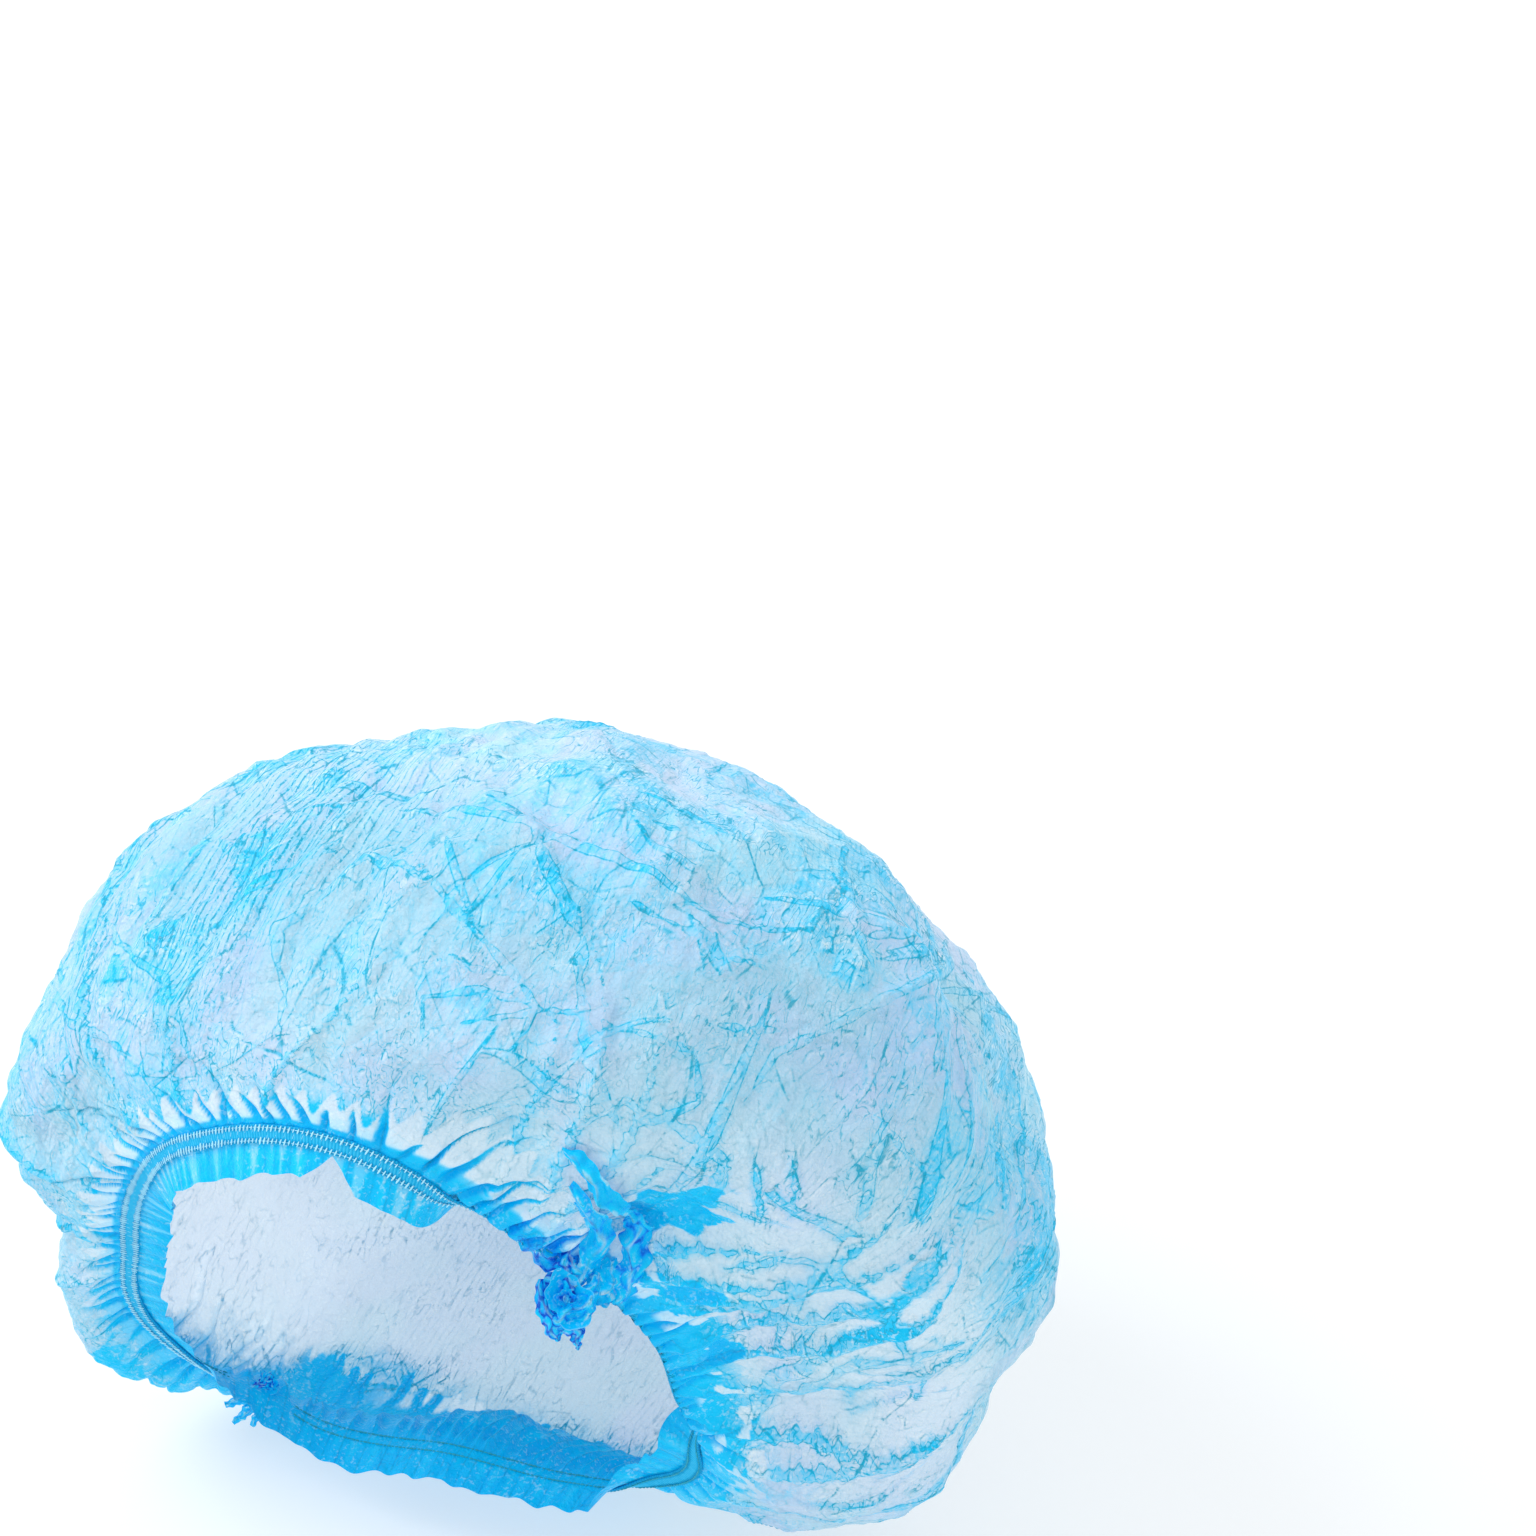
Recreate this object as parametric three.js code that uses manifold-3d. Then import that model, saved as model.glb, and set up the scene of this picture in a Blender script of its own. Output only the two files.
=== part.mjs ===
// Disposable bouffant cap, opened and puffed out, resting on its side with the mouth forward.
// Millimetres. +X to the right, -Y forward out of the mouth, +Z up, origin in the middle of the base.
//
// One thin sheet makes the bag and the ruffle. An elastic band is sewn along each of its two long
// edges, and its two sealed ends are bunched up where the bands meet, as a large and a small tuft.

import * as THREE from 'three';
import Module from 'manifold-3d';

const wasm = await Module();
wasm.setup();

// ---- driving dimensions ---------------------------------------------------------------------

const WALL = 1.2;              // cloth, thickened to a wall that can be made as a solid
const GAP = 0.3;               // air between the cloth and what is sewn to it
const MOUTH_TILT = 16.6;       // degrees that the mouth looks down
const BACK_DEPTH = 104;        // from the middle of the bag to its crown
const RIM_AHEAD = 63;          // from the middle of the bag to the elastic
const MOUTH_SHIFT = { across: -18, up: 7 };   // middle of the mouth from the bag's axis
const MIDDLE_HEIGHT = 114.5;   // middle of the bag above the floor, before the cloth gives
const BELLY_RISE = 0.98;       // how far the belly's fullness carries towards the elastic
const RIM_REACH = 0.55;        // how far the rim's slope carries towards the belly
const FLOOR_GIVE = 14;         // height over which the bag bends into its flat patch
const BAG_WAY = 200;           // about how far it is over the bag from the crown to the elastic

const BAND_WIDTH = 5;          // elastic
const BAND_THICK = 1;
const BAND_LEAN = 14;          // degrees that the elastic leans in beyond the ruffle
const RUFFLE = 9;              // sheet past the elastic
const PINCH = { large: 47, small: 231 };      // degrees round the mouth
const BAND_CLEAR = 6;          // degrees from a pinch to the end of a band

const SEGMENTS = 88;           // round the mouth
const BAG_ROWS = 17;           // crown to elastic
const PLEATS = 22;
const PLEAT_BAG = 2.4;         // half height of the gathers behind the elastic
const PLEAT_RUFFLE = 2.6;      // half height of the gathers at the free edge
// Where the gathers of the bag begin, are full, begin to fade and end, as shares of the way to the
// elastic.
const PLEAT_RUN = [0.78, 0.95, 0.96, 1];

// Sections round the mouth, counterclockwise as seen from in front, from the right-hand side.
//   rim    radius of the elastic's rear edge
//   belly  largest radius of the bag
//   ahead  how far before the middle of the bag that radius lies
//   lean   inward lean of the ruffle, degrees
const SECTION_STEP = 30;
const SECTIONS = [
  { deg: 0, rim: 74, belly: 132, ahead: 3, lean: 30 },
  { deg: 30, rim: 79, belly: 137, ahead: 3, lean: 34 },
  { deg: 60, rim: 80, belly: 140, ahead: 3, lean: 36 },
  { deg: 90, rim: 101, belly: 140, ahead: 4, lean: 38 },
  { deg: 120, rim: 93, belly: 137, ahead: 7, lean: 42 },
  { deg: 150, rim: 83, belly: 133, ahead: 10, lean: 46 },
  { deg: 180, rim: 84, belly: 127, ahead: 10, lean: 44 },
  { deg: 210, rim: 99, belly: 134, ahead: 10, lean: 30 },
  { deg: 240, rim: 89, belly: 138, ahead: 7, lean: 14 },
  { deg: 270, rim: 67, belly: 138, ahead: 5, lean: 8 },
  { deg: 300, rim: 73, belly: 134, ahead: 3, lean: 12 },
  { deg: 330, rim: 85, belly: 132, ahead: 3, lean: 22 },
];

// Stretches of the rim where the ruffle leans further in.
//   from, to    ends, degrees round the mouth
//   blend       half of the way over which the lean changes
//   turn        degrees of further lean
const TURNED_IN = [
  { from: 145, to: 229, blend: 22, turn: 44 },
  { from: 315, to: 352, blend: 8, turn: 62 },
];

// Main folds and dents of the bag: each runs along a section from one row to another.
//   deg, wide   middle and half width round the mouth, degrees
//   from, to    ends, as shares of the way from the crown to the elastic
//   high        height of the fold, below zero for a valley
const FOLDS = [
  { deg: 208, wide: 22, from: 0.64, to: 1.0, high: 12 },
  { deg: 158, wide: 26, from: 0.12, to: 0.86, high: 16 },
  { deg: 47, wide: 8, from: 0.66, to: 1.1, high: -7 },
  { deg: 58, wide: 6, from: 0.7, to: 0.98, high: 4 },
  { deg: 34, wide: 6, from: 0.7, to: 0.98, high: 4 },
  { deg: 22, wide: 5, from: 0.66, to: 0.99, high: -4 },
  { deg: 8, wide: 6, from: 0.62, to: 0.99, high: 4 },
  { deg: 355, wide: 6, from: 0.62, to: 0.99, high: -4 },
  { deg: 340, wide: 7, from: 0.62, to: 0.99, high: 4 },
  { deg: 72, wide: 6, from: 0.72, to: 0.97, high: -3 },
  { deg: 231, wide: 7, from: 0.78, to: 1.1, high: -5 },
  { deg: 20, wide: 9, from: 0.3, to: 0.52, high: -6 },
  { deg: 40, wide: 8, from: 0.28, to: 0.56, high: 4 },
  { deg: 352, wide: 8, from: 0.3, to: 0.6, high: 4 },
  { deg: 150, wide: 12, from: 0.35, to: 0.7, high: -4 },
];

// Bunched ends of the sheet, in rows from the bag to beyond the free edge.
//   past   way past the elastic's rear edge
//   turn   how far the row's middle lies from the pinch, degrees round the mouth
//   half   half width, degrees round the mouth
//   high   height over the cloth
const TUFTS = {
  end_tuft_large: {
    deg: PINCH.large,
    rows: [
      { past: -26, turn: 9, half: 1.2, high: 1.5 },
      { past: -19, turn: 7, half: 4.6, high: 6 },
      { past: -11, turn: 4, half: 5.2, high: 12 },
      { past: -4, turn: 1, half: 4.4, high: 14 },
      { past: 4, turn: -1, half: 4.6, high: 12 },
      { past: 10, turn: -2, half: 3.6, high: 9 },
      { past: 17, turn: -3, half: 1.1, high: 3 },
    ],
  },
  end_tuft_small: {
    deg: PINCH.small,
    rows: [
      { past: -8, turn: 0, half: 1.4, high: 1.5 },
      { past: -3, turn: 0, half: 3.4, high: 5 },
      { past: 3, turn: 0, half: 4.2, high: 7 },
      { past: 9, turn: 0, half: 3.2, high: 6 },
      { past: 14, turn: 0, half: 1.0, high: 2 },
    ],
  },
};
const TUFT_COLUMNS = 12;
const TUFT_FOLDS = 3;          // lobes across a tuft
const TUFT_LOBE = 0.3;         // depth of the valleys between them, as a share of the height
const TUFT_GAP = 0.36;         // air between a tuft and the cloth, more than GAP as the cloth is faceted
const TUFT_EDGE = 1.2;         // height of a tuft's thin border over the cloth

// ---- the sheet as a surface -----------------------------------------------------------------

const rad = THREE.MathUtils.degToRad;
const smooth = (x, a, b) => THREE.MathUtils.smoothstep(x, a, b);

// A column of the section table, carried round the mouth by a closed Catmull-Rom curve.
function around(column, deg) {
  const count = SECTIONS.length;
  const place = THREE.MathUtils.euclideanModulo(deg, 360) / SECTION_STEP;
  const first = Math.floor(place);
  const f = place - first;
  const [a, b, c, d] = [-1, 0, 1, 2].map((i) => SECTIONS[(first + i + count) % count][column]);
  return b + 0.5 * f * (c - a + f * (2 * a - 5 * b + 4 * c - d + f * (3 * (b - c) + d - a)));
}

const turnBetween = (deg, other) => THREE.MathUtils.euclideanModulo(deg - other + 180, 360) - 180;

// Inward lean of the ruffle, in degrees.
function rimLean(deg) {
  let lean = around('lean', deg);
  for (const { from, to, blend, turn } of TURNED_IN) {
    const half = (to - from) / 2;
    lean += turn * (1 - smooth(Math.abs(turnBetween(deg, from + half)), half - blend, half + blend));
  }
  return lean;
}

const bezier = (a, b, c, d, s) =>
  (1 - s) ** 3 * a + 3 * (1 - s) ** 2 * s * b + 3 * (1 - s) * s * s * c + s ** 3 * d;

// Radius and way ahead along one section. along runs from 0 at the crown over 0.5 at the belly to 1
// at the elastic's rear edge, and past is the way in mm from there towards the free edge.
function section(deg, along, past) {
  const rim = around('rim', deg);
  const belly = around('belly', deg);
  const ahead = around('ahead', deg);
  const lean = rad(rimLean(deg));
  const bandLean = lean + rad(BAND_LEAN);
  if (along <= 0.5) {
    const turn = along * Math.PI;
    return { r: belly * Math.sin(turn), w: ahead - (ahead + BACK_DEPTH) * Math.cos(turn) };
  }
  if (along < 1) {
    const s = 2 * along - 1;
    const rise = BELLY_RISE * (RIM_AHEAD - ahead);
    const reach = RIM_REACH * (belly - rim);
    return {
      r: bezier(belly, belly, rim + reach * Math.sin(bandLean), rim, s),
      w: bezier(ahead, ahead + rise, RIM_AHEAD - reach * Math.cos(bandLean), RIM_AHEAD, s),
    };
  }
  const band = Math.min(past, BAND_WIDTH);
  const free = Math.max(past - BAND_WIDTH, 0);
  return {
    r: rim - band * Math.sin(bandLean) - free * Math.sin(lean),
    w: RIM_AHEAD + band * Math.cos(bandLean) + free * Math.cos(lean),
  };
}

// Height of the folds and gathers over the smooth bag.
function relief(deg, along, past) {
  const way = along + past / BAG_WAY;
  let high = 0;
  for (const fold of FOLDS) {
    const turn = turnBetween(deg, fold.deg);
    const middle = (fold.from + fold.to) / 2;
    const reach = (fold.to - fold.from) / 2;
    const run = Math.min(Math.abs(way - middle) / reach, 1);
    high += fold.high * Math.exp(-((turn / fold.wide) ** 2)) * Math.cos((run * Math.PI) / 2) ** 2;
  }
  const wave = Math.cos(rad(deg * PLEATS));
  const [begin, full, fading, end] = PLEAT_RUN;
  const bagPleat = PLEAT_BAG * smooth(along, begin, full) * (1 - smooth(along, fading, end));
  const rufflePleat = PLEAT_RUFFLE * Math.max(past - BAND_WIDTH, 0) / RUFFLE;
  return high + wave * (bagPleat + rufflePleat);
}

// From the bag's own axes to the floor's: the mouth tips down, and the underside goes flat.
function toFloor(across, up, ahead) {
  const tilt = rad(MOUTH_TILT);
  const y = -up * Math.sin(tilt) - ahead * Math.cos(tilt);
  const height = MIDDLE_HEIGHT + up * Math.cos(tilt) - ahead * Math.sin(tilt);
  if (height <= 0) return new THREE.Vector3(across, y, 0);
  const z = height < FLOOR_GIVE ? height ** 2 / (2 * FLOOR_GIVE) : height - FLOOR_GIVE / 2;
  return new THREE.Vector3(across, y, z);
}

function smoothSheet(deg, along, past, lift) {
  const step = 0.01;
  const here = section(deg, along, past);
  const back = section(deg, Math.max(along - step, 0), Math.max(past - 1, 0));
  const inward = here.r - back.r;
  const forward = here.w - back.w;
  const length = Math.hypot(inward, forward) || 1;
  const r = here.r + (lift * forward) / length;
  const w = here.w - (lift * inward) / length;
  const shift = smooth(along, 0.5, 1);
  return toFloor(
    r * Math.cos(rad(deg)) + MOUTH_SHIFT.across * shift,
    r * Math.sin(rad(deg)) + MOUTH_SHIFT.up * shift,
    w,
  );
}

const sheet = (deg, along, past) => smoothSheet(deg, along, past, relief(deg, along, past));

// Outward normal of the sheet.
function sheetNormal(deg, along, past) {
  const turn = 1;
  const round = sheet(deg + turn, along, past).sub(sheet(deg - turn, along, past));
  const way = past > 0
    ? sheet(deg, along, past + 0.5).sub(sheet(deg, along, past - 0.5))
    : sheet(deg, Math.min(along + 0.01, 1), past).sub(sheet(deg, along - 0.01, past));
  return round.cross(way).normalize();
}

// The sheet moved along its own normal.
const sheetOffset = (deg, along, past, distance) =>
  sheet(deg, along, past).addScaledVector(sheetNormal(deg, along, past), distance);

// ---- solids ---------------------------------------------------------------------------------

function geometryOf(points, triangles) {
  const geometry = new THREE.BufferGeometry();
  geometry.setAttribute('position', new THREE.Float32BufferAttribute(points.flatMap((p) => p.toArray()), 3));
  geometry.setIndex(triangles.flat());
  geometry.computeVertexNormals();
  return geometry;
}

function solidOf(geometry) {
  return new wasm.Manifold(new wasm.Mesh({
    numProp: 3,
    vertProperties: geometry.attributes.position.array,
    triVerts: new Uint32Array(geometry.index.array),
  }));
}

function geometryFrom(solid) {
  const { vertProperties, triVerts } = solid.getMesh();
  const geometry = new THREE.BufferGeometry();
  geometry.setAttribute('position', new THREE.BufferAttribute(vertProperties, 3));
  geometry.setIndex(new THREE.BufferAttribute(triVerts, 1));
  geometry.computeVertexNormals();
  return geometry;
}

const largestBody = (solid) => solid.decompose().sort((a, b) => b.volume() - a.volume())[0];

// The sheet as a wall between an outer and an inner skin, closed along the free edge. beyond makes it
// that much longer there.
function wallGeometry(outerOffset, innerOffset, beyond) {
  const rows = Array.from({ length: BAG_ROWS }, (_, i) => ({ along: (i + 1) / BAG_ROWS, past: 0 }));
  for (const share of [0, 0.5, 1]) rows.push({ along: 1, past: BAND_WIDTH + share * (RUFFLE + beyond) });
  const points = [];
  const triangles = [];
  const crown = sheet(0, 0, 0);
  const backward = new THREE.Vector3(0, Math.cos(rad(MOUTH_TILT)), Math.sin(rad(MOUTH_TILT)));
  const skins = [outerOffset, innerOffset].map((offset) => {
    const start = points.length;
    points.push(crown.clone().addScaledVector(backward, offset));
    for (const row of rows) {
      for (let j = 0; j < SEGMENTS; j++) {
        points.push(sheetOffset((j * 360) / SEGMENTS, row.along, row.past, offset));
      }
    }
    return (row, j) => start + 1 + row * SEGMENTS + (j % SEGMENTS);
  });
  const quad = (a, b, c, d) => triangles.push([a, b, c], [a, c, d]);
  skins.forEach((at, side) => {
    const pole = at(0, 0) - 1;
    for (let j = 0; j < SEGMENTS; j++) {
      triangles.push(side === 0 ? [pole, at(0, j + 1), at(0, j)] : [pole, at(0, j), at(0, j + 1)]);
      for (let i = 0; i + 1 < rows.length; i++) {
        const corners = [at(i, j), at(i, j + 1), at(i + 1, j + 1), at(i + 1, j)];
        quad(...(side === 0 ? corners : corners.reverse()));
      }
    }
  });
  const [outer, inner] = skins;
  const last = rows.length - 1;
  for (let j = 0; j < SEGMENTS; j++) {
    quad(outer(last, j), outer(last, j + 1), inner(last, j + 1), inner(last, j));
  }
  return geometryOf(points, triangles);
}

// A closed solid lying on the sheet, between a lower and an upper skin over the same grid of places.
// lower and upper give the point for a row and a column.
function padGeometry(rowCount, columnCount, lower, upper) {
  const points = [];
  for (const skin of [lower, upper]) {
    for (let i = 0; i < rowCount; i++) {
      for (let j = 0; j < columnCount; j++) points.push(skin(i, j));
    }
  }
  const size = rowCount * columnCount;
  const at = (side, i, j) => side * size + i * columnCount + j;
  const triangles = [];
  const quad = (a, b, c, d) => triangles.push([a, b, c], [a, c, d]);
  for (let i = 0; i + 1 < rowCount; i++) {
    for (let j = 0; j + 1 < columnCount; j++) {
      quad(at(1, i, j), at(1, i, j + 1), at(1, i + 1, j + 1), at(1, i + 1, j));
      quad(at(0, i, j), at(0, i + 1, j), at(0, i + 1, j + 1), at(0, i, j + 1));
    }
    const end = columnCount - 1;
    quad(at(0, i, 0), at(1, i, 0), at(1, i + 1, 0), at(0, i + 1, 0));
    quad(at(1, i, end), at(0, i, end), at(0, i + 1, end), at(1, i + 1, end));
  }
  const foot = rowCount - 1;
  for (let j = 0; j + 1 < columnCount; j++) {
    quad(at(0, 0, j), at(0, 0, j + 1), at(1, 0, j + 1), at(1, 0, j));
    quad(at(1, foot, j), at(1, foot, j + 1), at(0, foot, j + 1), at(0, foot, j));
  }
  return geometryOf(points, triangles);
}

// An elastic band from one pinch to the other, on the outside of the sheet.
function bandGeometry(fromDeg, toDeg) {
  const step = 360 / SEGMENTS;
  const first = Math.ceil((fromDeg + BAND_CLEAR) / step);
  const count = Math.floor((toDeg - BAND_CLEAR) / step) - first + 1;
  const skin = (distance) => (i, j) => sheetOffset((first + j) * step, 1, i * BAND_WIDTH, distance);
  return padGeometry(2, count, skin(GAP), skin(GAP + BAND_THICK));
}

// A bunched end: lobes side by side, highest in the middle and thin round the border.
function tuftGeometry({ deg, rows }) {
  const place = (i, j) => {
    const side = (2 * j) / (TUFT_COLUMNS - 1) - 1;
    const { past, turn, half, high } = rows[i];
    return { side, high, at: [deg + turn + side * half, 1 + Math.min(past, 0) / BAG_WAY, Math.max(past, 0)] };
  };
  const lower = (i, j) => sheetOffset(...place(i, j).at, -WALL / 4);
  const upper = (i, j) => {
    const { side, high, at } = place(i, j);
    const lobes = 1 - TUFT_LOBE * (0.5 - 0.5 * Math.cos(Math.PI * (1 + side) * TUFT_FOLDS));
    return sheetOffset(...at, TUFT_EDGE + high * (1 - side ** 4) * lobes);
  };
  const tuft = solidOf(padGeometry(rows.length, TUFT_COLUMNS, lower, upper));
  return geometryFrom(largestBody(tuft.subtract(solidOf(wallGeometry(TUFT_GAP, -WALL, 2 * TUFT_GAP)))));
}

// ---- assembly -------------------------------------------------------------------------------

const finish = (color, roughness) => new THREE.MeshStandardMaterial({ color, roughness, metalness: 0 });

const cap = new THREE.Group();

function add(name, geometry, material) {
  const mesh = new THREE.Mesh(geometry, material);
  mesh.name = name;
  cap.add(mesh);
}

add('crown', wallGeometry(0, -WALL, 0), finish('#a9dcf6', 0.55));
add('elastic_upper', bandGeometry(PINCH.large, PINCH.small), finish('#d4eef7', 0.8));
add('elastic_lower', bandGeometry(PINCH.small, PINCH.large + 360), finish('#d4eef7', 0.8));
for (const [name, tuft] of Object.entries(TUFTS)) add(name, tuftGeometry(tuft), finish('#1f8fe0', 0.6));

const box = new THREE.Box3().setFromObject(cap);
const middle = box.getCenter(new THREE.Vector3());
cap.position.set(-middle.x, -middle.y, -box.min.z);

export default cap;
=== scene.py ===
"""Disposable bouffant cap of thin crinkled sheet, puffed open and resting on its side.

The sheet is worked out in millimetres in the bag's own axes (across, up, ahead out of the mouth),
tipped and laid on the floor, and only then turned into meshes in metres.
"""

import itertools
import math

import bpy
import numpy as np
from mathutils import Matrix, Vector


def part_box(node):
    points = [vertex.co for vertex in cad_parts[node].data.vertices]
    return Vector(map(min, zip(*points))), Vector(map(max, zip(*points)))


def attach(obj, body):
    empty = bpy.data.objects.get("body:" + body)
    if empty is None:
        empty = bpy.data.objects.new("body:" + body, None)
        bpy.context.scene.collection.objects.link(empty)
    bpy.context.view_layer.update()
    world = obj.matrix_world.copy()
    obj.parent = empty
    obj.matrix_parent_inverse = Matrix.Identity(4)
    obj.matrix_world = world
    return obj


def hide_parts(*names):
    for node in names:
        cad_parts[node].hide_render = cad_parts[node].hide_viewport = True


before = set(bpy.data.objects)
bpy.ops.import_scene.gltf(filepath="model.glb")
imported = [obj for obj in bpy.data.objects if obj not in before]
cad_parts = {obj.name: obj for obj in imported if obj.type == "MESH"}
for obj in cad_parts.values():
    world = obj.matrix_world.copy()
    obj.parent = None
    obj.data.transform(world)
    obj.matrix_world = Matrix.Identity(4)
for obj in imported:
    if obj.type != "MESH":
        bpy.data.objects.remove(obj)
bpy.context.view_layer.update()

MM = 0.001

# ---- sizes of the cap, in millimetres and degrees -------------------------------------------------

MOUTH_TILT = 16.6          # how far the mouth looks down
BACK_DEPTH = 104           # middle of the bag to its crown
RIM_AHEAD = 63             # middle of the bag to the elastic
MOUTH_ACROSS = -18         # middle of the mouth from the bag's axis
MOUTH_UP = 7
MIDDLE_HEIGHT = 114.5      # middle of the bag above the floor, before the cloth gives
BELLY_RISE = 0.98          # how far the belly's fullness carries towards the elastic
RIM_REACH = 0.55           # how far the rim's slope carries towards the belly
FLOOR_GIVE = 14            # height over which the bag bends into its flat patch
FLOOR_AIR = 0.15           # sheet above the floor where it lies on it
BAND_WIDTH = 5             # elastic
BAND_LEAN = 14             # inward lean of the elastic over that of the ruffle
RUFFLE = 9                 # sheet past the elastic
PINCH_LARGE = 47           # places of the bunched ends round the mouth
PINCH_SMALL = 231
BAND_CLEAR = 6             # from a pinch to the end of an elastic
SHARE_BEHIND = 200         # mm over the bag that stand for the whole way from crown to elastic

# Sections round the mouth, counterclockwise as seen from in front: radius of the elastic's rear
# edge, largest radius of the bag, how far ahead that lies, inward lean of the ruffle, and how far
# behind the elastic the bunched sheet keeps its full colour.
SECTION_COLUMNS = ("rim", "belly", "ahead", "lean", "soak")
SECTION_STEP = 30
SECTIONS = np.array([
    (74, 132, 3, 30, 15),     # 0, the right-hand side
    (79, 137, 3, 34, 17),
    (80, 140, 3, 36, 11),
    (101, 140, 4, 38, 9),     # 90, the top
    (93, 137, 7, 42, 7),
    (83, 133, 10, 46, 8),
    (84, 127, 10, 44, 9),     # 180, the left-hand side
    (99, 134, 10, 30, 9),
    (89, 138, 7, 14, 20),
    (67, 138, 5, 8, 24),      # 270, the bottom
    (73, 134, 3, 12, 26),
    (85, 132, 3, 22, 15),
], float)

# Stretches of the rim where the ruffle leans further in, and where the whole strip is rolled under:
# start and end round the mouth, half of the way over which it changes, and the turn in degrees.
TURNED_IN = (
    (145, 229, 22, 44),
    (315, 352, 8, 62),
)
ROLLED_UNDER = (
    (344, 410, 8, 125),
    (50, 73, 7, 110),
)
ROLL_SPAN = (-2.0, 1.2)    # where the roll's turn begins and is complete, past the elastic's rear edge
FULL_ROLL = 1.6            # turn in radians from which the strip counts as rolled under
STRIP_STEP = 0.5
ROLL_INSET = 1.6           # how far the elastic shifts off the turn where the strip is rolled under

# Main folds and dents: middle and half width round the mouth, ends as shares of the way from the
# crown to the elastic, and height.
FOLDS = (
    (208, 22, 0.64, 1.0, 12),
    (158, 26, 0.12, 0.86, 16),
    (47, 8, 0.66, 1.1, -7),
    (58, 6, 0.7, 0.98, 4),
    (34, 6, 0.7, 0.98, 4),
    (22, 5, 0.66, 0.99, -4),
    (8, 6, 0.62, 0.99, 4),
    (355, 6, 0.62, 0.99, -4),
    (340, 7, 0.62, 0.99, 4),
    (72, 6, 0.72, 0.97, -3),
    (231, 7, 0.78, 1.1, -5),
    (20, 9, 0.3, 0.52, -6),
    (40, 8, 0.28, 0.56, 4),
    (352, 8, 0.3, 0.6, 4),
    (150, 12, 0.35, 0.7, -4),
)

# ---- the sheet as a surface -----------------------------------------------------------------------


def smooth(x, low, high):
    t = np.clip((x - low) / (high - low), 0, 1)
    return t * t * (3 - 2 * t)


def between(x, start, full, fading, end):
    """1 from full to fading, and 0 before start and past end."""
    return smooth(x, start, full) * (1 - smooth(x, fading, end))


def bell(x, half, power=2):
    """1 at 0 and fading to both sides. A higher power makes the top flatter."""
    return np.exp(-((x / half) ** power))


def turn_between(deg, other):
    return (deg - other + 180) % 360 - 180


def bell_round(deg, middle, half, power=4):
    """A bell round the mouth, about a middle in degrees."""
    return bell(turn_between(deg, middle), half, power)


def around(column, deg):
    """A column of the section table, carried round the mouth by a closed Catmull-Rom curve."""
    values = SECTIONS[:, SECTION_COLUMNS.index(column)]
    place = (deg % 360) / SECTION_STEP
    first = np.floor(place).astype(int)
    f = place - first
    a, b, c, d = (values[(first + i) % len(values)] for i in (-1, 0, 1, 2))
    return b + 0.5 * f * (c - a + f * (2 * a - 5 * b + 4 * c - d + f * (3 * (b - c) + d - a)))


def turned(deg, stretches):
    """Turn in degrees over some stretches of the rim."""
    total = 0.0 * deg
    for start, end, blend, turn in stretches:
        away = np.abs(turn_between(deg, (start + end) / 2))
        half = (end - start) / 2
        total = total + turn * (1 - smooth(away, half - blend, half + blend))
    return total


def rim_lean(deg):
    """Inward lean of the ruffle, in radians."""
    return np.radians(around("lean", deg) + turned(deg, TURNED_IN))


def rim_roll(deg):
    """How far the strip rolls under over its first few mm, in radians."""
    return np.radians(turned(deg, ROLLED_UNDER))


def strip(deg, past):
    """Way inward and way ahead over the strip past the elastic's rear edge."""
    lean, roll = rim_lean(deg), rim_roll(deg)
    inward, ahead = 0 * past, 0 * past
    for begin in np.arange(0, BAND_WIDTH + RUFFLE + 3, STRIP_STEP):
        middle = begin + STRIP_STEP / 2
        angle = lean + math.radians(BAND_LEAN) * (middle < BAND_WIDTH) + roll * smooth(middle, *ROLL_SPAN)
        step = np.clip(past - begin, 0, STRIP_STEP)
        inward, ahead = inward + step * np.sin(angle), ahead + step * np.cos(angle)
    return inward, ahead


def bezier(a, b, c, d, s):
    return (1 - s) ** 3 * a + 3 * (1 - s) ** 2 * s * b + 3 * (1 - s) * s * s * c + s**3 * d


def section(deg, along, past):
    """Radius and way ahead. along is 0 at the crown and 1 at the elastic's rear edge, past is mm on."""
    rim, belly, ahead = around("rim", deg), around("belly", deg), around("ahead", deg)
    band_lean = rim_lean(deg) + math.radians(BAND_LEAN)
    inward, past_rim = strip(deg, past)
    turn = np.minimum(along, 0.5) * math.pi
    s = np.clip(2 * along - 1, 0, 1)
    rise = BELLY_RISE * (RIM_AHEAD - ahead)
    reach = RIM_REACH * (belly - rim)
    radius = np.where(
        along <= 0.5,
        belly * np.sin(turn),
        np.where(
            along < 1,
            bezier(belly, belly, rim + reach * np.sin(band_lean), rim, s),
            rim - inward,
        ),
    )
    forward = np.where(
        along <= 0.5,
        ahead - (ahead + BACK_DEPTH) * np.cos(turn),
        np.where(
            along < 1,
            bezier(ahead, ahead + rise, RIM_AHEAD - reach * np.cos(band_lean), RIM_AHEAD, s),
            RIM_AHEAD + past_rim,
        ),
    )
    return radius, forward


def main_folds(deg, along, past):
    way = along + past / SHARE_BEHIND
    high = np.zeros_like(way + deg)
    for middle_deg, wide, start, end, height in FOLDS:
        run = np.minimum(np.abs(way - (start + end) / 2) / ((end - start) / 2), 1)
        high += height * bell_round(deg, middle_deg, wide, 2) * np.cos(run * math.pi / 2) ** 2
    return high


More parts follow.
